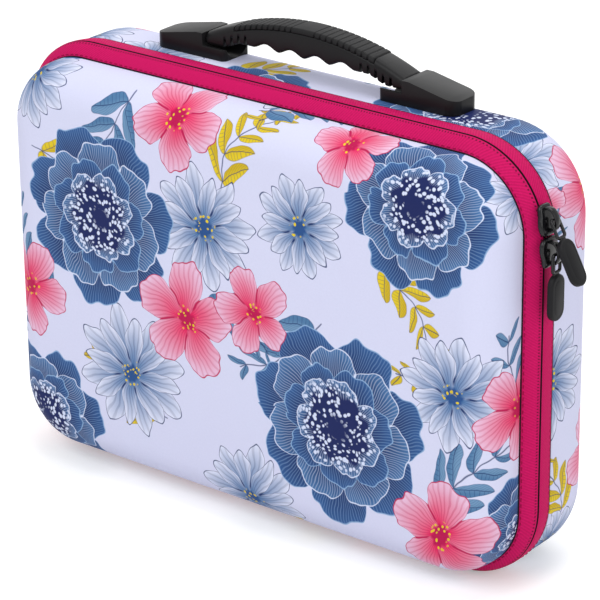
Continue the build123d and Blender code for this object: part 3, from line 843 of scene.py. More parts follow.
def outline_points(width, bottom, top, radius, corner_steps=18, side_steps=8):
    """Rounded outline with outward directions, from the middle of its bottom edge to the right."""
    half = width / 2
    corner_x = half - radius
    low = bottom + radius
    high = top - radius
    path = []

    def straight(start, end, outward, steps):
        for step in range(steps):
            share = step / steps
            x = start[0] + (end[0] - start[0]) * share
            z = start[1] + (end[1] - start[1]) * share
            path.append((x, z, *outward))

    def corner(x, z, first):
        for step in range(corner_steps):
            angle = math.radians(first + 90 * step / corner_steps)
            across, up = math.cos(angle), math.sin(angle)
            path.append((x + radius * across, z + radius * up, across, up))

    straight((0, bottom), (corner_x, bottom), (0, -1), side_steps)
    corner(corner_x, low, -90)
    straight((half, low), (half, high), (1, 0), side_steps)
    corner(corner_x, high, 0)
    straight((corner_x, top), (-corner_x, top), (0, 1), 2 * side_steps)
    corner(-corner_x, high, 90)
    straight((-half, high), (-half, low), (-1, 0), side_steps)
    corner(-corner_x, low, 180)
    straight((-corner_x, bottom), (0, bottom), (0, -1), side_steps)
    return path


def seam_path(**steps):
    """Outline of the zipper's seam, the widest of the case."""
    return outline_points(SEAM_WIDTH, 0, SEAM_HEIGHT, SEAM_RADIUS, **steps)


def lid_path(**steps):
    """Outline of the lid shell's outside."""
    width = SEAM_WIDTH - 2 * LID_INSET
    return outline_points(width, LID_INSET, SEAM_HEIGHT - LID_INSET, LID_RADIUS, **steps)


def rear_path(**steps):
    """Outline of the rear shell's outside."""
    width = SEAM_WIDTH - 2 * REAR_INSET
    return outline_points(width, 0, CASE_TOP, SEAM_RADIUS - REAR_INSET, **steps)


def inset_row(path, inset, y):
    """Points of an outline drawn inward, at a depth y."""
    return [point(x - out_x * inset, y, z - out_z * inset) for x, z, out_x, out_z in path]


def add_piece(mesh, finishes, body=None, nodes=()):
    """Smooth piece with its finishes, tied to its body, with the solids it stands for hidden."""
    for finish in finishes:
        mesh.materials.append(finish_of(finish))
    mesh.validate()
    for polygon in mesh.polygons:
        polygon.use_smooth = True
    mesh.set_sharp_from_angle(angle=math.radians(SHARP_ANGLE))
    obj = bpy.data.objects.new(mesh.name, mesh)
    bpy.context.scene.collection.objects.link(obj)
    if nodes:
        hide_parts(*nodes)
    if body:
        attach(obj, body)
    return obj


def to_mesh(name, bm):
    """Mesh data from a bmesh, with its faces turned outward."""
    bmesh.ops.recalc_face_normals(bm, faces=bm.faces)
    data = bpy.data.meshes.new(name)
    bm.to_mesh(data)
    bm.free()
    return data


def mesh_from(name, rows, close_round=True, close_rows=False, cap_rows=False, cap_ends=False):
    """Mesh over rows of points, with its cloth map in units of CLOTH_UNIT millimetres."""
    mesh = bmesh.new()
    layer = mesh.loops.layers.uv.new("cloth")
    made = [[mesh.verts.new(place) for place in row] for row in rows]
    count = len(rows[0])
    spots = row_spots(rows)
    total_rows = len(rows) if close_rows else len(rows) - 1
    total_round = count if close_round else count - 1
    for r in range(total_rows):
        for k in range(total_round):
            ids = ((r, k), (r, k + 1), (r + 1, k + 1), (r + 1, k))
            corners = [made[row % len(rows)][column % count] for row, column in ids]
            if len(set(corners)) < 4:
                continue
            face = mesh.faces.new(corners)
            for loop, (row, column) in zip(face.loops, ids):
                loop[layer].uv = spots(row, column)
    if cap_rows:
        mesh.faces.new(list(reversed(made[0])))
        mesh.faces.new(made[-1])
    if cap_ends:
        mesh.faces.new([row[0] for row in made])
        mesh.faces.new([row[-1] for row in reversed(made)])
    return to_mesh(name, mesh)


def row_spots(rows):
    """Cloth places from lengths along the first row and across the rows."""
    first = rows[0]
    along = [0.0]
    for k in range(len(first)):
        along.append(along[-1] + (first[(k + 1) % len(first)] - first[k]).length / MM)
    across = [0.0]
    for r in range(len(rows)):
        across.append(across[-1] + (rows[(r + 1) % len(rows)][0] - rows[r][0]).length / MM)

    def spot(row, column):
        return (along[column] / CLOTH_UNIT, across[row] / CLOTH_UNIT)

    return spot


def lining_spot(place):
    """Cloth place of a point of the lining, looked at from the front."""
    return (place.x / (MM * CLOTH_UNIT), place.z / (MM * CLOTH_UNIT))


def shell_profile(rim_y, end_y, side):
    """Outside of a shell from its turned hem to its face, as (y, inset from the outline)."""
    hem = in_mm(sizes().hem_roll)
    hem_end = rim_y + side * hem
    profile = [
        (rim_y + side * 0.4, hem * 1.9), (rim_y - side * 0.15, hem), (rim_y + side * 0.1, 0.25),
        (hem_end, 0.0),
    ]
    straight = end_y - side * EDGE_RADIUS - hem_end
    profile += [(hem_end + straight * share, 0.0) for share in (0.35, 0.7)]
    steps = 14
    for step in range(steps + 1):
        angle = math.radians(90 * step / steps)
        y = end_y - side * EDGE_RADIUS * (1 - math.sin(angle))
        profile.append((y, EDGE_RADIUS * (1 - math.cos(angle))))
    return profile


def face_row(path, share):
    """Edge of a shell's flat face, drawn in towards the middle by a share, as (x, z)."""
    middle = path_middle(path)
    face = [(x - out_x * EDGE_RADIUS, z - out_z * EDGE_RADIUS) for x, z, out_x, out_z in path]
    return [(x * share, middle + (z - middle) * share) for x, z in face]


def path_middle(path):
    """Height of the middle of an outline."""
    return sum(row[1] for row in path) / len(path)


def shell_outside(path, profile, end_y, side, dome, print_spot):
    """Rows of points over a shell's printed outside, and their places on the print."""
    lengths = [0.0]
    for (y0, inset0), (y1, inset1) in zip(profile[::-1], profile[-2::-1]):
        lengths.insert(0, lengths[0] + math.hypot(y1 - y0, inset1 - inset0))
    rows, spots = [], []
    for (y, inset), length in zip(profile, lengths):
        rows.append(inset_row(path, inset, y))
        out = length - EDGE_RADIUS
        spots.append([print_spot(x + out_x * out, z + out_z * out) for x, z, out_x, out_z in path])
    steps = 12
    for step in range(1, steps):
        share = 1 - step / steps
        y = end_y + side * dome * (1 - share * share) ** 1.5
        flat = face_row(path, share)
        rows.append([point(x, y, z) for x, z in flat])
        spots.append([print_spot(x, z) for x, z in flat])
    return rows, spots


def shell_inside(path, rim_y, inner_end, side):
    """Rows of points over a shell's lining, from its middle to the hem."""
    radius = EDGE_RADIUS - WALL
    rows = []
    for share in (0.2, 0.6, 0.97):
        rows.append([point(x, inner_end, z) for x, z in face_row(path, share)])
    steps = 8
    for step in range(steps + 1):
        angle = math.radians(90 - 90 * step / steps)
        y = inner_end - side * radius * (1 - math.sin(angle))
        rows.append(inset_row(path, WALL + radius * (1 - math.cos(angle)), y))
    rows.append(inset_row(path, WALL, rim_y + side * 0.8))
    rows.append(inset_row(path, WALL - 0.5, rim_y + side * 0.3))
    return rows


def shell_mesh(name, path, rim_y, end_y, shift, dome):
    """Closed shell: hem, printed outside, domed face, and the lined inside back to the hem."""

    def print_spot(x, z):
        return ((x + shift[0]) / CLOTH_UNIT, (z + shift[1]) / CLOTH_UNIT)

    side = 1 if end_y > rim_y else -1
    inner_end = end_y - side * WALL
    profile = shell_profile(rim_y, end_y, side)
    rows, spots = shell_outside(path, profile, end_y, side, dome, print_spot)
    lining_rows = shell_inside(path, rim_y, inner_end, side)
    lining_spots = [[lining_spot(place) for place in row] for row in lining_rows]
    mesh = bmesh.new()
    layer = mesh.loops.layers.uv.new("cloth")
    count = len(path)

    def add_face(corners, places, material):
        face = mesh.faces.new(corners)
        face.material_index = material
        for loop, place in zip(face.loops, places):
            loop[layer].uv = place

    def skin(some_rows, some_spots, material):
        made = [[mesh.verts.new(spot) for spot in row] for row in some_rows]
        for r in range(len(made) - 1):
            for k in range(count):
                following = (k + 1) % count
                ids = ((r, k), (r, following), (r + 1, following), (r + 1, k))
                corners = [made[row][column] for row, column in ids]
                add_face(corners, [some_spots[row][column] for row, column in ids], material)
        return made

    outside = skin(rows, spots, 0)
    inside = skin(lining_rows, lining_spots, 1)
    middle = path_middle(path)
    outer_tip = point(0, end_y + side * dome, middle)
    inner_tip = point(0, inner_end, middle)
    for made, row, tip, tip_spot, material in (
        (outside[-1], spots[-1], outer_tip, print_spot(0, middle), 0),
        (inside[0], lining_spots[0], inner_tip, lining_spot(inner_tip), 1),
    ):
        last = mesh.verts.new(tip)
        for k in range(count):
            following = (k + 1) % count
            places = (row[k], row[following], tip_spot)
            add_face((made[k], made[following], last), places, material)
    for k in range(count):
        following = (k + 1) % count
        corners = (outside[0][k], outside[0][following], inside[-1][following], inside[-1][k])
        mesh.faces.new(corners).material_index = 1
    return to_mesh(name, mesh)


def band_rows(first, second, offsets):
    """Rows of a sewn band between two outlines. Offsets are share across and lift."""
    rows = []
    for share, lift in offsets:
        row = []
        for (start, start_out), (end, end_out) in zip(first, second):
            place = start.lerp(end, share)
            outward = (start_out + end_out).normalized()
            spot = place + outward * lift * MM
            spot.z = max(spot.z, 0.0)
            row.append(spot)
        rows.append(row)
    return rows


def facing(path, inset, y, lean):
    """Points on an outline, each with the direction that a band there faces."""
    result = []
    for x, z, out_x, out_z in path:
        place = point(x - out_x * inset, y, z - out_z * inset)
        result.append((place, Vector((out_x, lean, out_z)).normalized()))
    return result


def open_at_hinge(path, end_x):
    """Outline from the right end of the hinge round to its left end."""
    half = [row for row in path if not (row[3] == -1 and abs(row[0]) < end_x)]
    bottom = next(row[1] for row in path if row[3] == -1)
    return [(end_x, bottom, 0, -1)] + half + [(-end_x, bottom, 0, -1)]


SWELL = (
    (0.0, 0.0), (0.06, 0.45), (0.2, 0.8), (0.4, 1.0), (0.6, 1.0), (0.8, 0.8), (0.94, 0.45), (1.0, 0.0),
)


def band_section(swell, thick):
    """Closed section of a band: rounded outside, flat underside."""
    outside = [(share, lift * swell) for share, lift in SWELL]
    return outside + [(1.0, -thick), (0.5, -thick), (0.0, -thick)]


def rounded_section(half_width, low, high, low_radius, high_radius, steps=5):
    """Section across Y with rounded corners, from the right foot round to the left."""
    points = []
    corners = (
        (half_width - low_radius, low + low_radius, low_radius, -90),
        (half_width - high_radius, high - high_radius, high_radius, 0),
        (-half_width + high_radius, high - high_radius, high_radius, 90),
        (-half_width + low_radius, low + low_radius, low_radius, 180),
    )
    for y, z, radius, first in corners:
        for step in range(steps + 1):
            angle = math.radians(first + 90 * step / steps)
            points.append((y + radius * math.cos(angle), z + radius * math.sin(angle)))
    return points


def loft(name, stations):
    """Closed body along the handle. Each station is an x and a list of (y, z) from its middle."""
    rows = [[point(HANDLE_X + x, HANDLE_Y + y, z) for y, z in section] for x, section in stations]
    return mesh_from(name, rows, cap_rows=True)


def along_handle(half, steps, depth):
    """Stations from end to end: each an x, and how far the rounded ends draw in there."""
    for index in range(steps + 1):
        x = -half + 2 * half * index / steps
        from_end = half - abs(x)
        yield x, depth * max(0.0, 1 - from_end / END_ROUND) ** 2


def crown_height(x):
    """Height of the grip's crown over the case's top."""
    rise = GRIP_CROWN - GRIP_END_TOP
    radius = (GRIP_HALF**2 + rise**2) / (2 * rise)
    return GRIP_CROWN - radius + math.sqrt(radius**2 - x * x)


def smooth_step(value):
    """Eased step from nought to one."""
    value = min(max(value, 0.0), 1.0)
    return value * value * (3 - 2 * value)


def belly_height(x):
    """Underside of the grip: finger scallops, slots at each end, and the drop to its feet."""
    reach = abs(x)
    drop = smooth_step((reach - FOOT_START_X) / FOOT_RUN)
    height = GRIP_BELLY + (GRIP_END_BOTTOM - GRIP_BELLY) * drop
    if reach < SCALLOP_REACH:
        wave = 0.5 - 0.5 * math.cos(2 * math.pi * x / SCALLOP_PITCH)
        height += SCALLOP_DEPTH * wave**0.8
    for index in range(RIGHT_SLOTS if x > 0 else LEFT_SLOTS):
        from_slot = abs(reach - (SLOT_FIRST_X + SLOT_PITCH * index))
        height += SLOT_DEPTH * (1 - smooth_step((from_slot - SLOT_HALF) / SLOT_SLOPE))
    return height


def skin_rows(bm, rows):
    """Faces between rows of points that each run round."""
    for first, second in zip(rows, rows[1:]):
        for k in range(len(first)):
            following = (k + 1) % len(first)
            bm.faces.new((first[k], first[following], second[following], second[k]))


def slab(bm, outline, low, high, radius, place, steps=4):
    """Slab with rounded rims, its thickness along X. The outline is a list of (y, z)."""
    centre_y = sum(y for y, z in outline) / len(outline)
    centre_z = sum(z for y, z in outline) / len(outline)
    reach_y = max(abs(y - centre_y) for y, z in outline)
    reach_z = max(abs(z - centre_z) for y, z in outline)
    rim = []
    for step in range(steps + 1):
        angle = math.radians(90 * step / steps)
        rim.append((radius * (1 - math.sin(angle)), radius * (1 - math.cos(angle))))
    levels = [(low + depth, inset) for depth, inset in reversed(rim)]
    levels += [(high - depth, inset) for depth, inset in rim]
    rows = []
    for x, inset in levels:
        row = []
        for y, z in outline:
            shrunk_y = centre_y + (y - centre_y) * (1 - inset / reach_y)
            shrunk_z = centre_z + (z - centre_z) * (1 - inset / reach_z)
            row.append(bm.verts.new(place @ point(x, shrunk_y, shrunk_z)))
        rows.append(row)
    skin_rows(bm, rows)
    bm.faces.new(list(reversed(rows[0])))
    bm.faces.new(rows[-1])


def tube(bm, line, width, depth, place, closed=False, sides=8, sharp=2.0):
    """Bar of rounded section along a line in one plane, given as (x, y, z) points."""
    points = [Vector(spot) for spot in line]
    count = len(points)
    rings = []
    for index, spot in enumerate(points):
        before = points[(index - 1) % count] if closed or index else spot
        after = points[(index + 1) % count] if closed or index < count - 1 else spot
        ahead = (after - before).normalized()
        level = abs(ahead.y) < 0.001 or not closed
        across = Vector((0, 1, 0)) if level else Vector((1, 0, 0))
        over = ahead.cross(across).normalized()
        across = over.cross(ahead).normalized()
        ring = []
        for side in range(sides):
            angle = 2 * math.pi * side / sides
            cos, sin = math.cos(angle), math.sin(angle)
            a = math.copysign(abs(cos) ** (1 / sharp), cos) * width / 2
            b = math.copysign(abs(sin) ** (1 / sharp), sin) * depth / 2
            ring.append(bm.verts.new(place @ ((spot + across * a + over * b) * MM)))
        rings.append(ring)
    skin_rows(bm, rings + rings[:1] if closed else rings)
    if not closed:
        bm.faces.new(list(reversed(rings[0])))
        bm.faces.new(rings[-1])


def lathe(bm, profile, x, z, sides):
    """Turned body round a line along Y. The profile is (y, radius) from the back to the front."""
    rings = []
    for y, radius in profile:
        ring = []
        for side in range(sides):
            angle = 2 * math.pi * side / sides
            spot = point(x + radius * math.cos(angle), y, z + radius * math.sin(angle))
            ring.append(bm.verts.new(spot))
        rings.append(ring)
    skin_rows(bm, rings)
    bm.faces.new(list(reversed(rings[0])))
    bm.faces.new(rings[-1])


def beads_along(path, inset, pitch):
    """Evenly spaced places inside an outline, in millimetres, with outward directions."""
    spots = []
    for x, z, out_x, out_z in path:
        place = Vector((x - out_x * inset, 0, z - out_z * inset))
        spots.append((place, Vector((out_x, 0, out_z))))
    result = []
    left = 0.0
    for (start, first), (end, second) in zip(spots, spots[1:]):
        length = (end - start).length
        while left < length:
            share = left / length
            result.append((start.lerp(end, share), first.lerp(second, share).normalized()))
            left += pitch
        left -= length
    return result


def closed_outline(half_outline):
    """Outline as (y, z) from its right half, given as (z, y)."""
    right = [(y, z) for z, y in half_outline]
    left = [(-y, z) for y, z in reversed(right[1:-1])]
    return right + left


SLIDER_OUTLINE = closed_outline((
    (7.3, 0.0), (7.3, 2.6), (6.9, 4.2), (5.8, 5.6), (4.2, 6.2), (1.6, 6.2), (-0.6, 5.6), (-2.6, 4.7),
    (-5.2, 4.3), (-6.6, 3.8), (-7.2, 2.7), (-7.3, 0.0),
))

# Plates of a slider: shares of the outline's width and height, low and high side, rim, rim steps
SLIDER_PLATES = (
    (1.0, 1.0, 0.4, 3.1, 1.2, 4), (0.055, 0.36, -5.4, 1.0, 0.1, 1), (0.4, 0.55, -6.4, -5.3, 0.3, 2),
)


def jar_places():
    """The x and z of each jar's middle line."""
    for column in range(JAR_COLUMNS):
        for row in range(JAR_ROWS):
            x = (column - (JAR_COLUMNS - 1) / 2) * JAR_PITCH_X
            yield x, CASE_TOP / 2 + (row - (JAR_ROWS - 1) / 2) * JAR_PITCH_Z


def slider_place(upper):
    """Frame of a slider: the crest along Z, the outside towards X, the nose up."""
    if not upper:
        return Matrix.Translation(point(SEAM_WIDTH / 2, 0, LOWER_SLIDER_Z))
    corner = point(SEAM_WIDTH / 2 - SEAM_RADIUS, 0, SEAM_HEIGHT - SEAM_RADIUS)
    turn = Euler((0, math.radians(-UPPER_ANGLE), 0)).to_matrix().to_4x4()
    return Matrix.Translation(corner) @ turn @ Matrix.Translation(point(SEAM_RADIUS, 0, 0))


def pull_place(upper):
    """Frame of a pull, at its pivot in the slider's bridge."""
    tilt = UPPER_ANGLE - UPPER_PULL_TILT if upper else 0.0
    turn = Euler((0, math.radians(tilt), 0)).to_matrix().to_4x4()
    return slider_place(upper) @ Matrix.Translation(point(PIVOT_LIFT, 0, 0)) @ turn


def rounded_copy(node, name, bevel, segments):
    """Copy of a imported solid's mesh with its edges rounded."""
    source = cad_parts[node].data
    bm = bmesh.new()
    bm.from_mesh(source)
    bmesh.ops.remove_doubles(bm, verts=bm.verts, dist=0.00001)
    flat = math.radians(FLAT_ANGLE)
    bmesh.ops.dissolve_limit(bm, angle_limit=flat, verts=bm.verts, edges=bm.edges)
    limit = math.radians(BEVEL_ANGLE)
    sharp = [edge for edge in bm.edges if edge.is_manifold and edge.calc_face_angle() > limit]
    bmesh.ops.bevel(
        bm, geom=sharp, offset=bevel * MM, offset_type="OFFSET", segments=segments, profile=0.5,
        affect="EDGES", clamp_overlap=True,
    )
    return to_mesh(name, bm)


class CASE_OT_finishes(bpy.types.Operator):
    """Makes the shader groups and the finishes of all pieces."""

    bl_idname = "case.finishes"
    bl_label = "Finishes"

    def execute(self, context):
        build_materials()
        return {"FINISHED"}


class CASE_OT_shells(bpy.types.Operator):
    """Makes the printed lid and rear shell with their linings."""

    bl_idname = "case.shells"
    bl_label = "Printed shells"

    def execute(self, context):
        dome = in_mm(sizes().face_dome)
        for name, path, rim, end, shift, body in (
            ("lid_cover", lid_path(), -LID_RIM, -LID_DEPTH, (0, -SEAM_HEIGHT / 2), "lid"),
            ("rear_cover", rear_path(), REAR_RIM, REAR_DEPTH, (118, 40), "rear_case"),
        ):
            mesh = shell_mesh(name, path, rim, end, shift, dome if body == "lid" else 0.0)
            node = "lid_shell" if body == "lid" else "rear_shell"
            add_piece(mesh, ["printed_cloth", "lining"], body, [node])
        return {"FINISHED"}


class CASE_OT_tapes(bpy.types.Operator):
    """Makes the two sides of the zipper tape."""

    bl_idname = "case.tapes"
    bl_label = "Zipper tapes"

    def execute(self, context):
        swell = in_mm(sizes().tape_swell)
        seam = open_at_hinge(seam_path(), TAPE_END_X)
        lid = open_at_hinge(lid_path(), TAPE_END_X)
        rear = open_at_hinge(rear_path(), TAPE_END_X)
        lid_rim = facing(lid, 0.9, -LID_RIM - 0.3, -1)
        lid_crest = facing(seam, 0.5, -SEAM_HALF_GAP, -1)
        rear_rim = facing(rear, 0.5, REAR_RIM + 0.3, 0)
        rear_crest = facing(seam, 0.5, SEAM_HALF_GAP, 0)
        for name, rim, crest, lift, body in (
            ("lid_tape", lid_rim, lid_crest, swell, "lid"),
            ("rear_tape", rear_rim, rear_crest, swell * 0.7, "rear_case"),
        ):
            rows = band_rows(rim, crest, band_section(lift, TAPE_THICKNESS))
            mesh = mesh_from(name, rows, close_round=False, close_rows=True, cap_ends=True)
            node = "lid_zip_tape" if body == "lid" else "rear_zip_tape"
            add_piece(mesh, ["zip_tape"], body, [node])
        return {"FINISHED"}


class CASE_OT_coils(bpy.types.Operator):
    """Makes the two rows of zipper coil behind the tapes."""

    bl_idname = "case.coils"
    bl_label = "Zipper coils"

    def execute(self, context):
        pitch = in_mm(sizes().tooth_pitch)
        path = open_at_hinge(seam_path(corner_steps=48, side_steps=2), COIL_END_X)
        for name, y, body, node in (
            ("lid_coil", -COIL_Y, "lid", "lid_zip_coil"),
            ("rear_coil", COIL_Y, "rear_case", "rear_zip_coil"),
        ):
            rows = []
            for place, outward in beads_along(path, COIL_INSET, pitch / 4):
                turn = len(rows) % 4
                size = (1.15, 0.95, 0.7, 0.95)[turn]
                row = []
                for side in range(8):
                    angle = 2 * math.pi * side / 8
                    sweep = outward * (math.cos(angle) * size)
                    aside = Vector((0, (y + math.sin(angle) * size) * MM, 0))
                    row.append((place + sweep) * MM + aside)
                rows.append(row)
            mesh = mesh_from(name, rows, cap_rows=True)
            add_piece(mesh, ["zip_coil"], body, [node])
        return {"FINISHED"}


class CASE_OT_hinge(bpy.types.Operator):
    """Makes the cloth hinge along the bottom edge."""

    bl_idname = "case.hinge"
    bl_label = "Cloth hinge"

    def execute(self, context):
        outside = [
            (-LID_RIM - 0.2, LID_INSET + 0.2), (-5.2, 5.2), (-3.4, 3.4), (-1.8, 1.8), (-0.7, 0.75),
            (0.0, 0.35), (0.8, 0.15), (3.5, 0.1), (7.5, 0.1), (REAR_RIM + 0.2, 0.1),
        ]
        inside = [(y, z + TAPE_THICKNESS) for y, z in reversed(outside)]
        columns = 24
        rows = []
        for y, z in outside + inside:
            rows.append([
                point(-HINGE_END_X + 2 * HINGE_END_X * k / columns, y, z) for k in range(columns + 1)
            ])
        mesh = mesh_from("hinge_cloth", rows, close_round=False, close_rows=True, cap_ends=True)
        obj = add_piece(mesh, ["hinge_cloth"])
        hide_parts("lid_hinge_strip", "rear_hinge_strip")
        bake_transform(obj)
        return {"FINISHED"}


class CASE_OT_bindings(bpy.types.Operator):
    """Makes the sewn bindings inside the two rims."""

    bl_idname = "case.bindings"
    bl_label = "Rim bindings"

    def execute(self, context):
        for name, path, y0, y1, body in (
            ("lid_binding", lid_path(), -11.3, -4.9, "lid"),
            ("rear_binding", rear_path(), 7.0, 17.0, "rear_case"),
        ):
            edges = [facing(path, WALL + 0.2, y, 0) for y in (y0, y1)]
            flipped = [[(place, outward * -1) for place, outward in row] for row in edges]
            rows = band_rows(*flipped, [*SWELL, (0.97, -0.05), (0.03, -0.05)])
            node = name.replace("_binding", "_rim_binding")
            mesh = mesh_from(name, rows, close_rows=True)
            add_piece(mesh, ["binding_tape"], body, [node])
        return {"FINISHED"}


class CASE_OT_stitches(bpy.types.Operator):
    """Makes the rows of stitches that hold the tapes to the shells."""

    bl_idname = "case.stitches"
    bl_label = "Stitches"

    def execute(self, context):
        pitch = in_mm(sizes().stitch_pitch)
        for name, path, inset, y, lean, body in (
            ("lid_stitches", lid_path(), -1.05, -6.4, -1.0, "lid"),
            ("rear_stitches", rear_path(), -0.25, 9.6, 0.0, "rear_case"),
        ):
            bm = bmesh.new()
            places = beads_along(open_at_hinge(path, TAPE_END_X + 2), inset, pitch / 2)
            for index in range(0, len(places) - 1, 2):
                start, outward = places[index]
                end = places[index + 1][0]
                raised = Vector((0, y, 0))
                raised.z = max(0.0, 0.3 - min(start.z, end.z))
                lift = Vector((outward.x, lean, outward.z)).normalized() * 0.05
                line = [start - lift * 6, start + lift, end + lift, end - lift * 6]
                line = [spot + raised for spot in line]
                tube(bm, line, STITCH_THREAD, STITCH_THREAD, Matrix.Identity(4), sides=6, sharp=1.0)
            add_piece(to_mesh(name, bm), ["stitch_thread"], body)
        return {"FINISHED"}


class CASE_OT_net(bpy.types.Operator):
    """Makes the net pocket in the lid and its binding."""

    bl_idname = "case.net"
    bl_label = "Net pocket"

    def execute(self, context):
        middle = SEAM_HEIGHT / 2
        bottom = middle - NET_BORDER_HEIGHT / 2
        top = middle + NET_BORDER_HEIGHT / 2
        path = outline_points(NET_BORDER_WIDTH, bottom, top, NET_BORDER_RADIUS, corner_steps=8)
        face_out = Vector((0, 1, 0))
        outer, inner = (
            [(place, face_out) for place in inset_row(path, inset, NET_BACK)]
            for inset in (0.0, NET_BORDER)
        )
        section = [(0, 0), (0, 1.8), (0.08, 2.35), (0.5, 2.6), (0.92, 2.35), (1, 1.8), (1, 0)]
        mesh = mesh_from("net_binding", band_rows(outer, inner, section), close_rows=True)
        add_piece(mesh, ["binding_tape"], "lid", ["net_pocket_binding"])
        net_width = NET_BORDER_WIDTH - 2 * NET_BORDER
        net_height = NET_BORDER_HEIGHT - 2 * NET_BORDER
        steps_x, steps_z = 32, 18
        front, rear = [], []
        for k in range(steps_z + 1):
            z = -net_height / 2 + net_height * k / steps_z
            edge_z = 1 - (2 * k / steps_z - 1) ** 2
            row_front, row_rear = [], []
            for j in range(steps_x + 1):
                x = -net_width / 2 + net_width * j / steps_x
                edge_x = 1 - (2 * j / steps_x - 1) ** 2
                belly = NET_BELLY * edge_x * edge_z
                y = NET_BACK + NET_LIFT + belly
                row_front.append(point(x, y + NET_THICKNESS, middle + z))
                row_rear.append(point(x, y, middle + z))
            front.append(row_front)
            rear.append(row_rear)
        loops = front + list(reversed(rear))
        mesh = mesh_from("net_cloth", loops, close_round=False, close_rows=True, cap_ends=True)
        net = add_piece(mesh, ["net_mesh"], "lid", ["net_pocket"])
        return {"FINISHED"}


class CASE_OT_tray(bpy.types.Operator):
    """Makes the foam tray with its sixty pockets."""

    bl_idname = "case.tray"
    bl_label = "Foam tray"

    def execute(self, context):
        bm = bmesh.new()
        path = rear_path(corner_steps=8, side_steps=6)
        levels = (
            (TRAY_FRONT + 0.9, TRAY_INSET), (TRAY_BACK - TRAY_CHAMFER, TRAY_INSET),
            (TRAY_BACK, TRAY_INSET + TRAY_CHAMFER), (TRAY_FRONT, TRAY_INSET + 0.9),
        )
        # The last level is the front rim, which the others hang from
        *rims, top = ([bm.verts.new(spot) for spot in inset_row(path, inset, y)] for y, inset in levels)
        skin_rows(bm, [top, *rims])
        bm.faces.new(rims[-1])
        loops = [top]
        for x, z in jar_places():
            square = outline_points(
                2 * POCKET_HALF, z - POCKET_HALF, z + POCKET_HALF, POCKET_RADIUS, corner_steps=4,
                side_steps=1,
            )
            square = [(px + x, pz, out_x, out_z) for px, pz, out_x, out_z in square]
            rows = []
            for y, grow in ((TRAY_FRONT, 0.35), (TRAY_FRONT + 0.5, 0.0), (POCKET_FLOOR, 0.0)):
                rows.append([bm.verts.new(spot) for spot in inset_row(square, -grow, y)])
            skin_rows(bm, rows)
            bm.faces.new(rows[-1])
            loops.append(rows[0])
        flat = [vert for loop in loops for vert in loop]
        outlines = [[(vert.co.x, vert.co.z, 0) for vert in loop] for loop in loops]
        for corners in tessellate_polygon(outlines):
            face = [flat[corner] for corner in corners]
            if len(set(corners)) == 3 and not bm.faces.get(face):
                bm.faces.new(face)
        mesh = to_mesh("foam_tray", bm)
        obj = add_piece(mesh, ["tray_foam"], "rear_case", ["jar_tray"])
        return {"FINISHED"}


class CASE_OT_jars(bpy.types.Operator):
    """Makes the sixty jars with their beads, and the caps."""

    bl_idname = "case.jars"
    bl_label = "Jars and caps"

    def execute(self, context):
        wall = [
            (JAR_BOTTOM, JAR_RADIUS - 1.3), (JAR_BOTTOM - 0.5, JAR_RADIUS - 0.4),
            (JAR_BOTTOM - 1.6, JAR_RADIUS), (JAR_MIDDLE_Y, JAR_RADIUS + 0.05),
            (JAR_MOUTH + 1.0, JAR_RADIUS), (JAR_MOUTH, JAR_RADIUS - 0.7),
            (JAR_MOUTH + 0.8, JAR_RADIUS - 1.1), (JAR_MIDDLE_Y, JAR_RADIUS - 1.0),
            (JAR_BOTTOM - 1.9, JAR_RADIUS - 1.1), (JAR_BOTTOM - 1.7, JAR_RADIUS - 2.3),
        ]
        fill = [
            (JAR_BOTTOM - 2.0, FILL_RADIUS - 0.5), (JAR_BOTTOM - 2.6, FILL_RADIUS),
            (FILL_TOP + 1.2, FILL_RADIUS), (FILL_TOP + 0.4, FILL_RADIUS - 0.9),
            (FILL_TOP, FILL_RADIUS - 5.5),
        ]
        cap = [
            (JAR_MOUTH + 0.1, CAP_RADIUS - 1.1), (JAR_MOUTH, CAP_RADIUS - 0.2),
            (JAR_MOUTH - 0.8, CAP_RADIUS), (CAP_FRONT + 1.1, CAP_RADIUS),
            (CAP_FRONT + 0.3, CAP_RADIUS - 0.3), (CAP_FRONT, CAP_RADIUS - 1.0),
            (CAP_FRONT, CAP_RADIUS - 2.2), (CAP_FRONT + 0.45, CAP_RADIUS - 2.6),
            (CAP_FRONT + 0.45, CAP_RADIUS - 9.4),
        ]
        for name, profile, sides, finish, node, slot in (
            ("jar_walls", wall, 24, "jar_clear", "jar_bodies", "jar_plastic"),
            ("jar_beads", fill, 20, "bead_fill", None, "cap_plastic"),
            ("caps", cap, 28, "cap_clear", "jar_caps", "cap_plastic"),
        ):
            bm = bmesh.new()
            for x, z in jar_places():
                lathe(bm, profile, x, z, sides)
            add_piece(to_mesh(name, bm), [finish], "rear_case", [node] if node else [])
        return {"FINISHED"}


class CASE_OT_brackets(bpy.types.Operator):
    """Rounds the edges of the two handle brackets."""

    bl_idname = "case.brackets"
    bl_label = "Handle brackets"

    def execute(self, context):
        for side in ("right", "left"):
            node = f"handle_bracket_{side}"
            mesh = rounded_copy(node, f"bracket_{side}", BRACKET_BEVEL, 3)
            add_piece(mesh, ["handle_plastic"], "rear_case", [node])
        return {"FINISHED"}


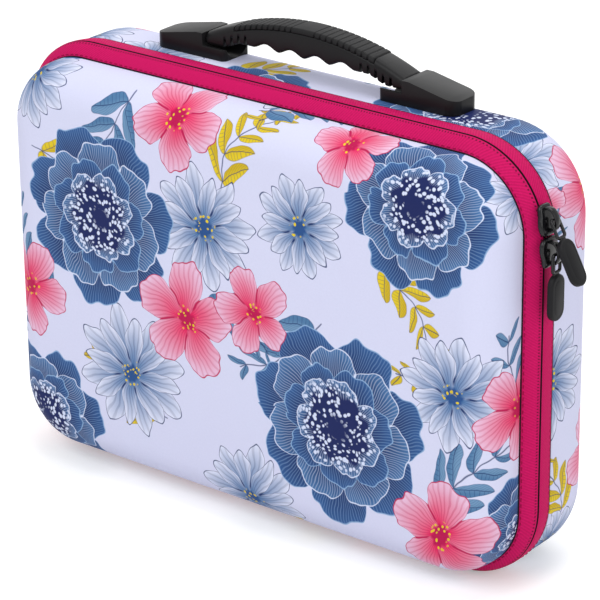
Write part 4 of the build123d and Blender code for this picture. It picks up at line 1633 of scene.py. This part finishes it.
class CASE_OT_grip(bpy.types.Operator):
    """Makes the arched grip with finger scallops and slots."""

    bl_idname = "case.grip"
    bl_label = "Grip"

    def execute(self, context):
        stations = []
        for x, pinch in along_handle(GRIP_HALF, 470, 0.55):
            sunk = PAD_DEPTH * smooth_step((PAD_HALF - abs(x)) / 0.25 + 0.5)
            top = CASE_TOP + crown_height(x) - sunk - pinch
            low = CASE_TOP + belly_height(x) + pinch
            half = GRIP_HALF_WIDTH - pinch
            crown_radius = GRIP_CROWN_RADIUS if sunk < 1 else GRIP_SEAT_RADIUS
            section = rounded_section(half, low, top, GRIP_BELLY_RADIUS, crown_radius)
            stations.append((x, section))
        mesh = loft("grip", stations)
        add_piece(mesh, ["handle_plastic"], "handle", ["handle_grip"])
        return {"FINISHED"}


class CASE_OT_pad(bpy.types.Operator):
    """Makes the ribbed soft pad on the grip's crown."""

    bl_idname = "case.pad"
    bl_label = "Grip pad"

    def execute(self, context):
        ribs = sizes().grip_ribs
        stations = []
        reach = PAD_HALF - PAD_END_GAP
        for x, pinch in along_handle(reach, 480, 0.5):
            phase = (x / (2 * reach) + 0.5) * ribs
            groove = smooth_step((abs(phase % 1 - 0.5) - 0.30) / 0.12)
            if reach - abs(x) < 2.0 or abs(x) < PAD_PLATE_HALF:
                groove = 0.0
            top = CASE_TOP + crown_height(x) - pinch - PAD_GROOVE_DEPTH * groove
            low = CASE_TOP + crown_height(x) - PAD_DEPTH + PAD_SIDE_GAP
            half = GRIP_HALF_WIDTH - PAD_SIDE_GAP - pinch - PAD_GROOVE_SIDE * groove
            section = rounded_section(half, low, top, 0.3, 1.9 - 0.4 * groove)
            stations.append((x, section))
        mesh = loft("grip_pad", stations)
        add_piece(mesh, ["pad_rubber"], "handle", ["handle_grip_pad"])
        return {"FINISHED"}


class CASE_OT_sliders(bpy.types.Operator):
    """Makes the two glossy sliders with their bridges."""

    bl_idname = "case.sliders"
    bl_label = "Sliders"

    def execute(self, context):
        for name, upper in (("upper_slider", True), ("lower_slider", False)):
            place = slider_place(upper)
            if upper:
                place = place @ Euler((math.pi, 0, 0)).to_matrix().to_4x4()
            bm = bmesh.new()
            for wide, tall, low, high, rim, steps in SLIDER_PLATES:
                outline = [(y * wide, z * tall) for y, z in SLIDER_OUTLINE]
                slab(bm, outline, low, high, rim, place, steps=steps)
            arch = []
            for step in range(17):
                angle = math.pi * step / 16
                x = BRIDGE_FOOT + BRIDGE_RADIUS * math.sin(angle) ** 0.6
                arch.append((x, 0, -BRIDGE_RADIUS * math.cos(angle)))
            tube(bm, arch, BRIDGE_WIDTH, BRIDGE_DEPTH, place, sides=12, sharp=1.6)
            mesh = to_mesh(name + "_body", bm)
            add_piece(mesh, ["slider_gloss"], name, [name])
        return {"FINISHED"}


class CASE_OT_pulls(bpy.types.Operator):
    """Makes the wire links and the matte tabs of the two pulls."""

    bl_idname = "case.pulls"
    bl_label = "Pulls"

    def execute(self, context):
        for side, upper in (("upper", True), ("lower", False)):
            place = pull_place(upper)
            body = f"{side}_pull"
            bm = bmesh.new()
            ring = rounded_section(LINK_HALF, -LINK_LENGTH, 0, LINK_RADIUS, LINK_RADIUS)
            line = [(0, y, z) for y, z in ring]
            tube(bm, line, LINK_WIRE, LINK_WIRE, place, closed=True, sides=10, sharp=1.0)
            tongue = closed_outline(((-8.4, 0), (-8.6, 1.9), (-14.8, 1.9), (-15.0, 0)))
            slab(bm, tongue, -0.6, 0.6, 0.2, place, steps=1)
            mesh = to_mesh(f"{side}_link", bm)
            add_piece(mesh, ["slider_gloss"], body, [f"{side}_pull_link"])
            bm = bmesh.new()
            outline = []
            for centre_z, first in ((TAB_TOP - TAB_ROUND, 0), (TAB_BOTTOM + TAB_ROUND, 180)):
                for step in range(13):
                    angle = math.radians(first + 180 * step / 12)
                    z = centre_z + TAB_ROUND * math.sin(angle)
                    outline.append((TAB_HALF * math.cos(angle), z))
            slab(bm, outline, -TAB_HALF_DEPTH, TAB_HALF_DEPTH, TAB_RIM, place)
            middle = (TAB_TOP + TAB_BOTTOM) / 2
            panel = [(y * 0.62, middle + (z - middle) * 0.78) for y, z in outline]
            raised = TAB_HALF_DEPTH + 0.1
            slab(bm, panel, -raised, raised, 0.25, place, steps=2)
            mesh = to_mesh(f"{side}_tab", bm)
            add_piece(mesh, ["tab_rubber"], body, [f"{side}_pull_tab"])
        return {"FINISHED"}


class CASE_OT_fastenings(bpy.types.Operator):
    """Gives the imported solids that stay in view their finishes."""

    bl_idname = "case.fastenings"
    bl_label = "Fastenings"

    def execute(self, context):
        for node, finish in (
            ("handle_backing_plate", "plate_plastic"), ("handle_screws", "screw_steel"),
            ("handle_pins", "screw_steel"), ("zip_end_stops", "stop_metal"),
        ):
            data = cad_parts[node].data
            data.materials.clear()
            data.materials.append(finish_of(finish))
        return {"FINISHED"}


CAMERA_PLACE = Vector((0.850582, -1.061426, 0.686449))
CAMERA_RIGHT = Vector((0.78843, 0.61504, -0.01013))
CAMERA_UP = Vector((-0.23258, 0.31331, 0.92073))
CAMERA_LENS = 183.08
FLOOR_HALF = 6.0

# Name, place in metres, size in metres, power in watts
LIGHTS = (
    ("key_light", (0.0, -1.5, 1.5), 1.3, 18.0),
    ("side_light", (1.6, -0.3, 0.9), 1.0, 7.0),
    ("top_light", (0.1, 0.3, 1.7), 1.2, 10.0),
    ("back_light", (-0.6, 1.5, 1.0), 1.0, 3.0),
)


def make_floor(scene):
    """White floor that takes soft shadows and looks pure white to the camera."""
    mesh = bpy.data.meshes.new("floor")
    corners = [(-FLOOR_HALF, -FLOOR_HALF, 0), (FLOOR_HALF, -FLOOR_HALF, 0)]
    corners += [(FLOOR_HALF, FLOOR_HALF, 0), (-FLOOR_HALF, FLOOR_HALF, 0)]
    mesh.from_pydata(corners, [], [(0, 1, 2, 3)])
    tree, shader = new_material("white_floor", 0.9, Specular_IOR_Level=0.1)
    shader.inputs["Base Color"].default_value = (0.86, 0.86, 0.86, 1)
    shader.inputs["Emission Strength"].default_value = 0.30
    glow = blended(tree, seen_directly(tree), (0, 0, 0, 1), (1, 1, 1, 1))
    plug(tree, glow, shader.inputs["Emission Color"])
    mesh.materials.append(finish_of("white_floor"))
    floor = bpy.data.objects.new("floor", mesh)
    scene.collection.objects.link(floor)


def make_world(scene):
    """White room, dimmer as a light than as a background."""
    world = bpy.data.worlds.new("white_room")
    scene.world = world
    world.use_nodes = True
    tree = world.node_tree
    background = tree.nodes["Background"]
    background.inputs["Color"].default_value = (1, 1, 1, 1)
    plug(tree, seen_directly(tree) * 0.42 + 0.58, background.inputs["Strength"])


def make_lights(scene):
    """Soft square lights, all turned to the case."""
    for name, place, size, power in LIGHTS:
        data = bpy.data.lights.new(name, "AREA")
        data.size = size
        data.energy = power
        lamp = bpy.data.objects.new(name, data)
        lamp.location = place
        aim = Vector((0, 0, 0.1)) - lamp.location
        lamp.rotation_euler = aim.to_track_quat("-Z", "Y").to_euler()
        scene.collection.objects.link(lamp)


def make_camera(scene):
    """Camera that looks at the case as the photo does."""
    data = bpy.data.cameras.new("camera")
    data.lens = CAMERA_LENS
    data.sensor_width = 36.0
    data.clip_end = 50.0
    camera = bpy.data.objects.new("camera", data)
    back = CAMERA_RIGHT.cross(CAMERA_UP).normalized()
    up = back.cross(CAMERA_RIGHT).normalized()
    axes = Matrix((CAMERA_RIGHT.normalized(), up, back)).transposed().to_4x4()
    camera.matrix_world = Matrix.Translation(CAMERA_PLACE) @ axes
    scene.collection.objects.link(camera)
    scene.camera = camera


class CASE_OT_stage(bpy.types.Operator):
    """Makes the white floor, the soft lights and the camera."""

    bl_idname = "case.stage"
    bl_label = "Stage"

    def execute(self, context):
        context.scene.view_settings.view_transform = "Standard"
        make_floor(context.scene)
        make_world(context.scene)
        make_lights(context.scene)
        make_camera(context.scene)
        return {"FINISHED"}


OPERATORS = (
    CASE_OT_finishes, CASE_OT_shells, CASE_OT_tapes, CASE_OT_coils, CASE_OT_hinge,
    CASE_OT_bindings, CASE_OT_stitches, CASE_OT_net, CASE_OT_tray, CASE_OT_jars,
    CASE_OT_brackets, CASE_OT_grip, CASE_OT_pad, CASE_OT_sliders, CASE_OT_pulls,
    CASE_OT_fastenings, CASE_OT_stage,
)


class CASE_PT_panel(bpy.types.Panel):
    """Lists the steps that dress the case."""

    bl_idname = "CASE_PT_panel"
    bl_label = "Jar sorting case"
    bl_space_type = "VIEW_3D"
    bl_region_type = "UI"
    bl_category = "Case"

    def draw(self, context):
        layout = self.layout
        for group in (context.scene.case_sizes, context.scene.case_colours):
            for name in group.__annotations__:
                layout.prop(group, name)
        for operator in OPERATORS:
            layout.operator(operator.bl_idname)


CLASSES = (CaseSizes, CaseColours, *OPERATORS, CASE_PT_panel)


def register():
    for item in CLASSES:
        bpy.utils.register_class(item)
    bpy.types.Scene.case_sizes = PointerProperty(type=CaseSizes)
    bpy.types.Scene.case_colours = PointerProperty(type=CaseColours)


def unregister():
    del bpy.types.Scene.case_colours
    del bpy.types.Scene.case_sizes
    for item in reversed(CLASSES):
        bpy.utils.unregister_class(item)


def main():
    """Makes all pieces in order."""
    register()
    for operator in OPERATORS:
        getattr(bpy.ops.case, operator.bl_idname.split(".")[1])()


if __name__ == "__main__":
    main()
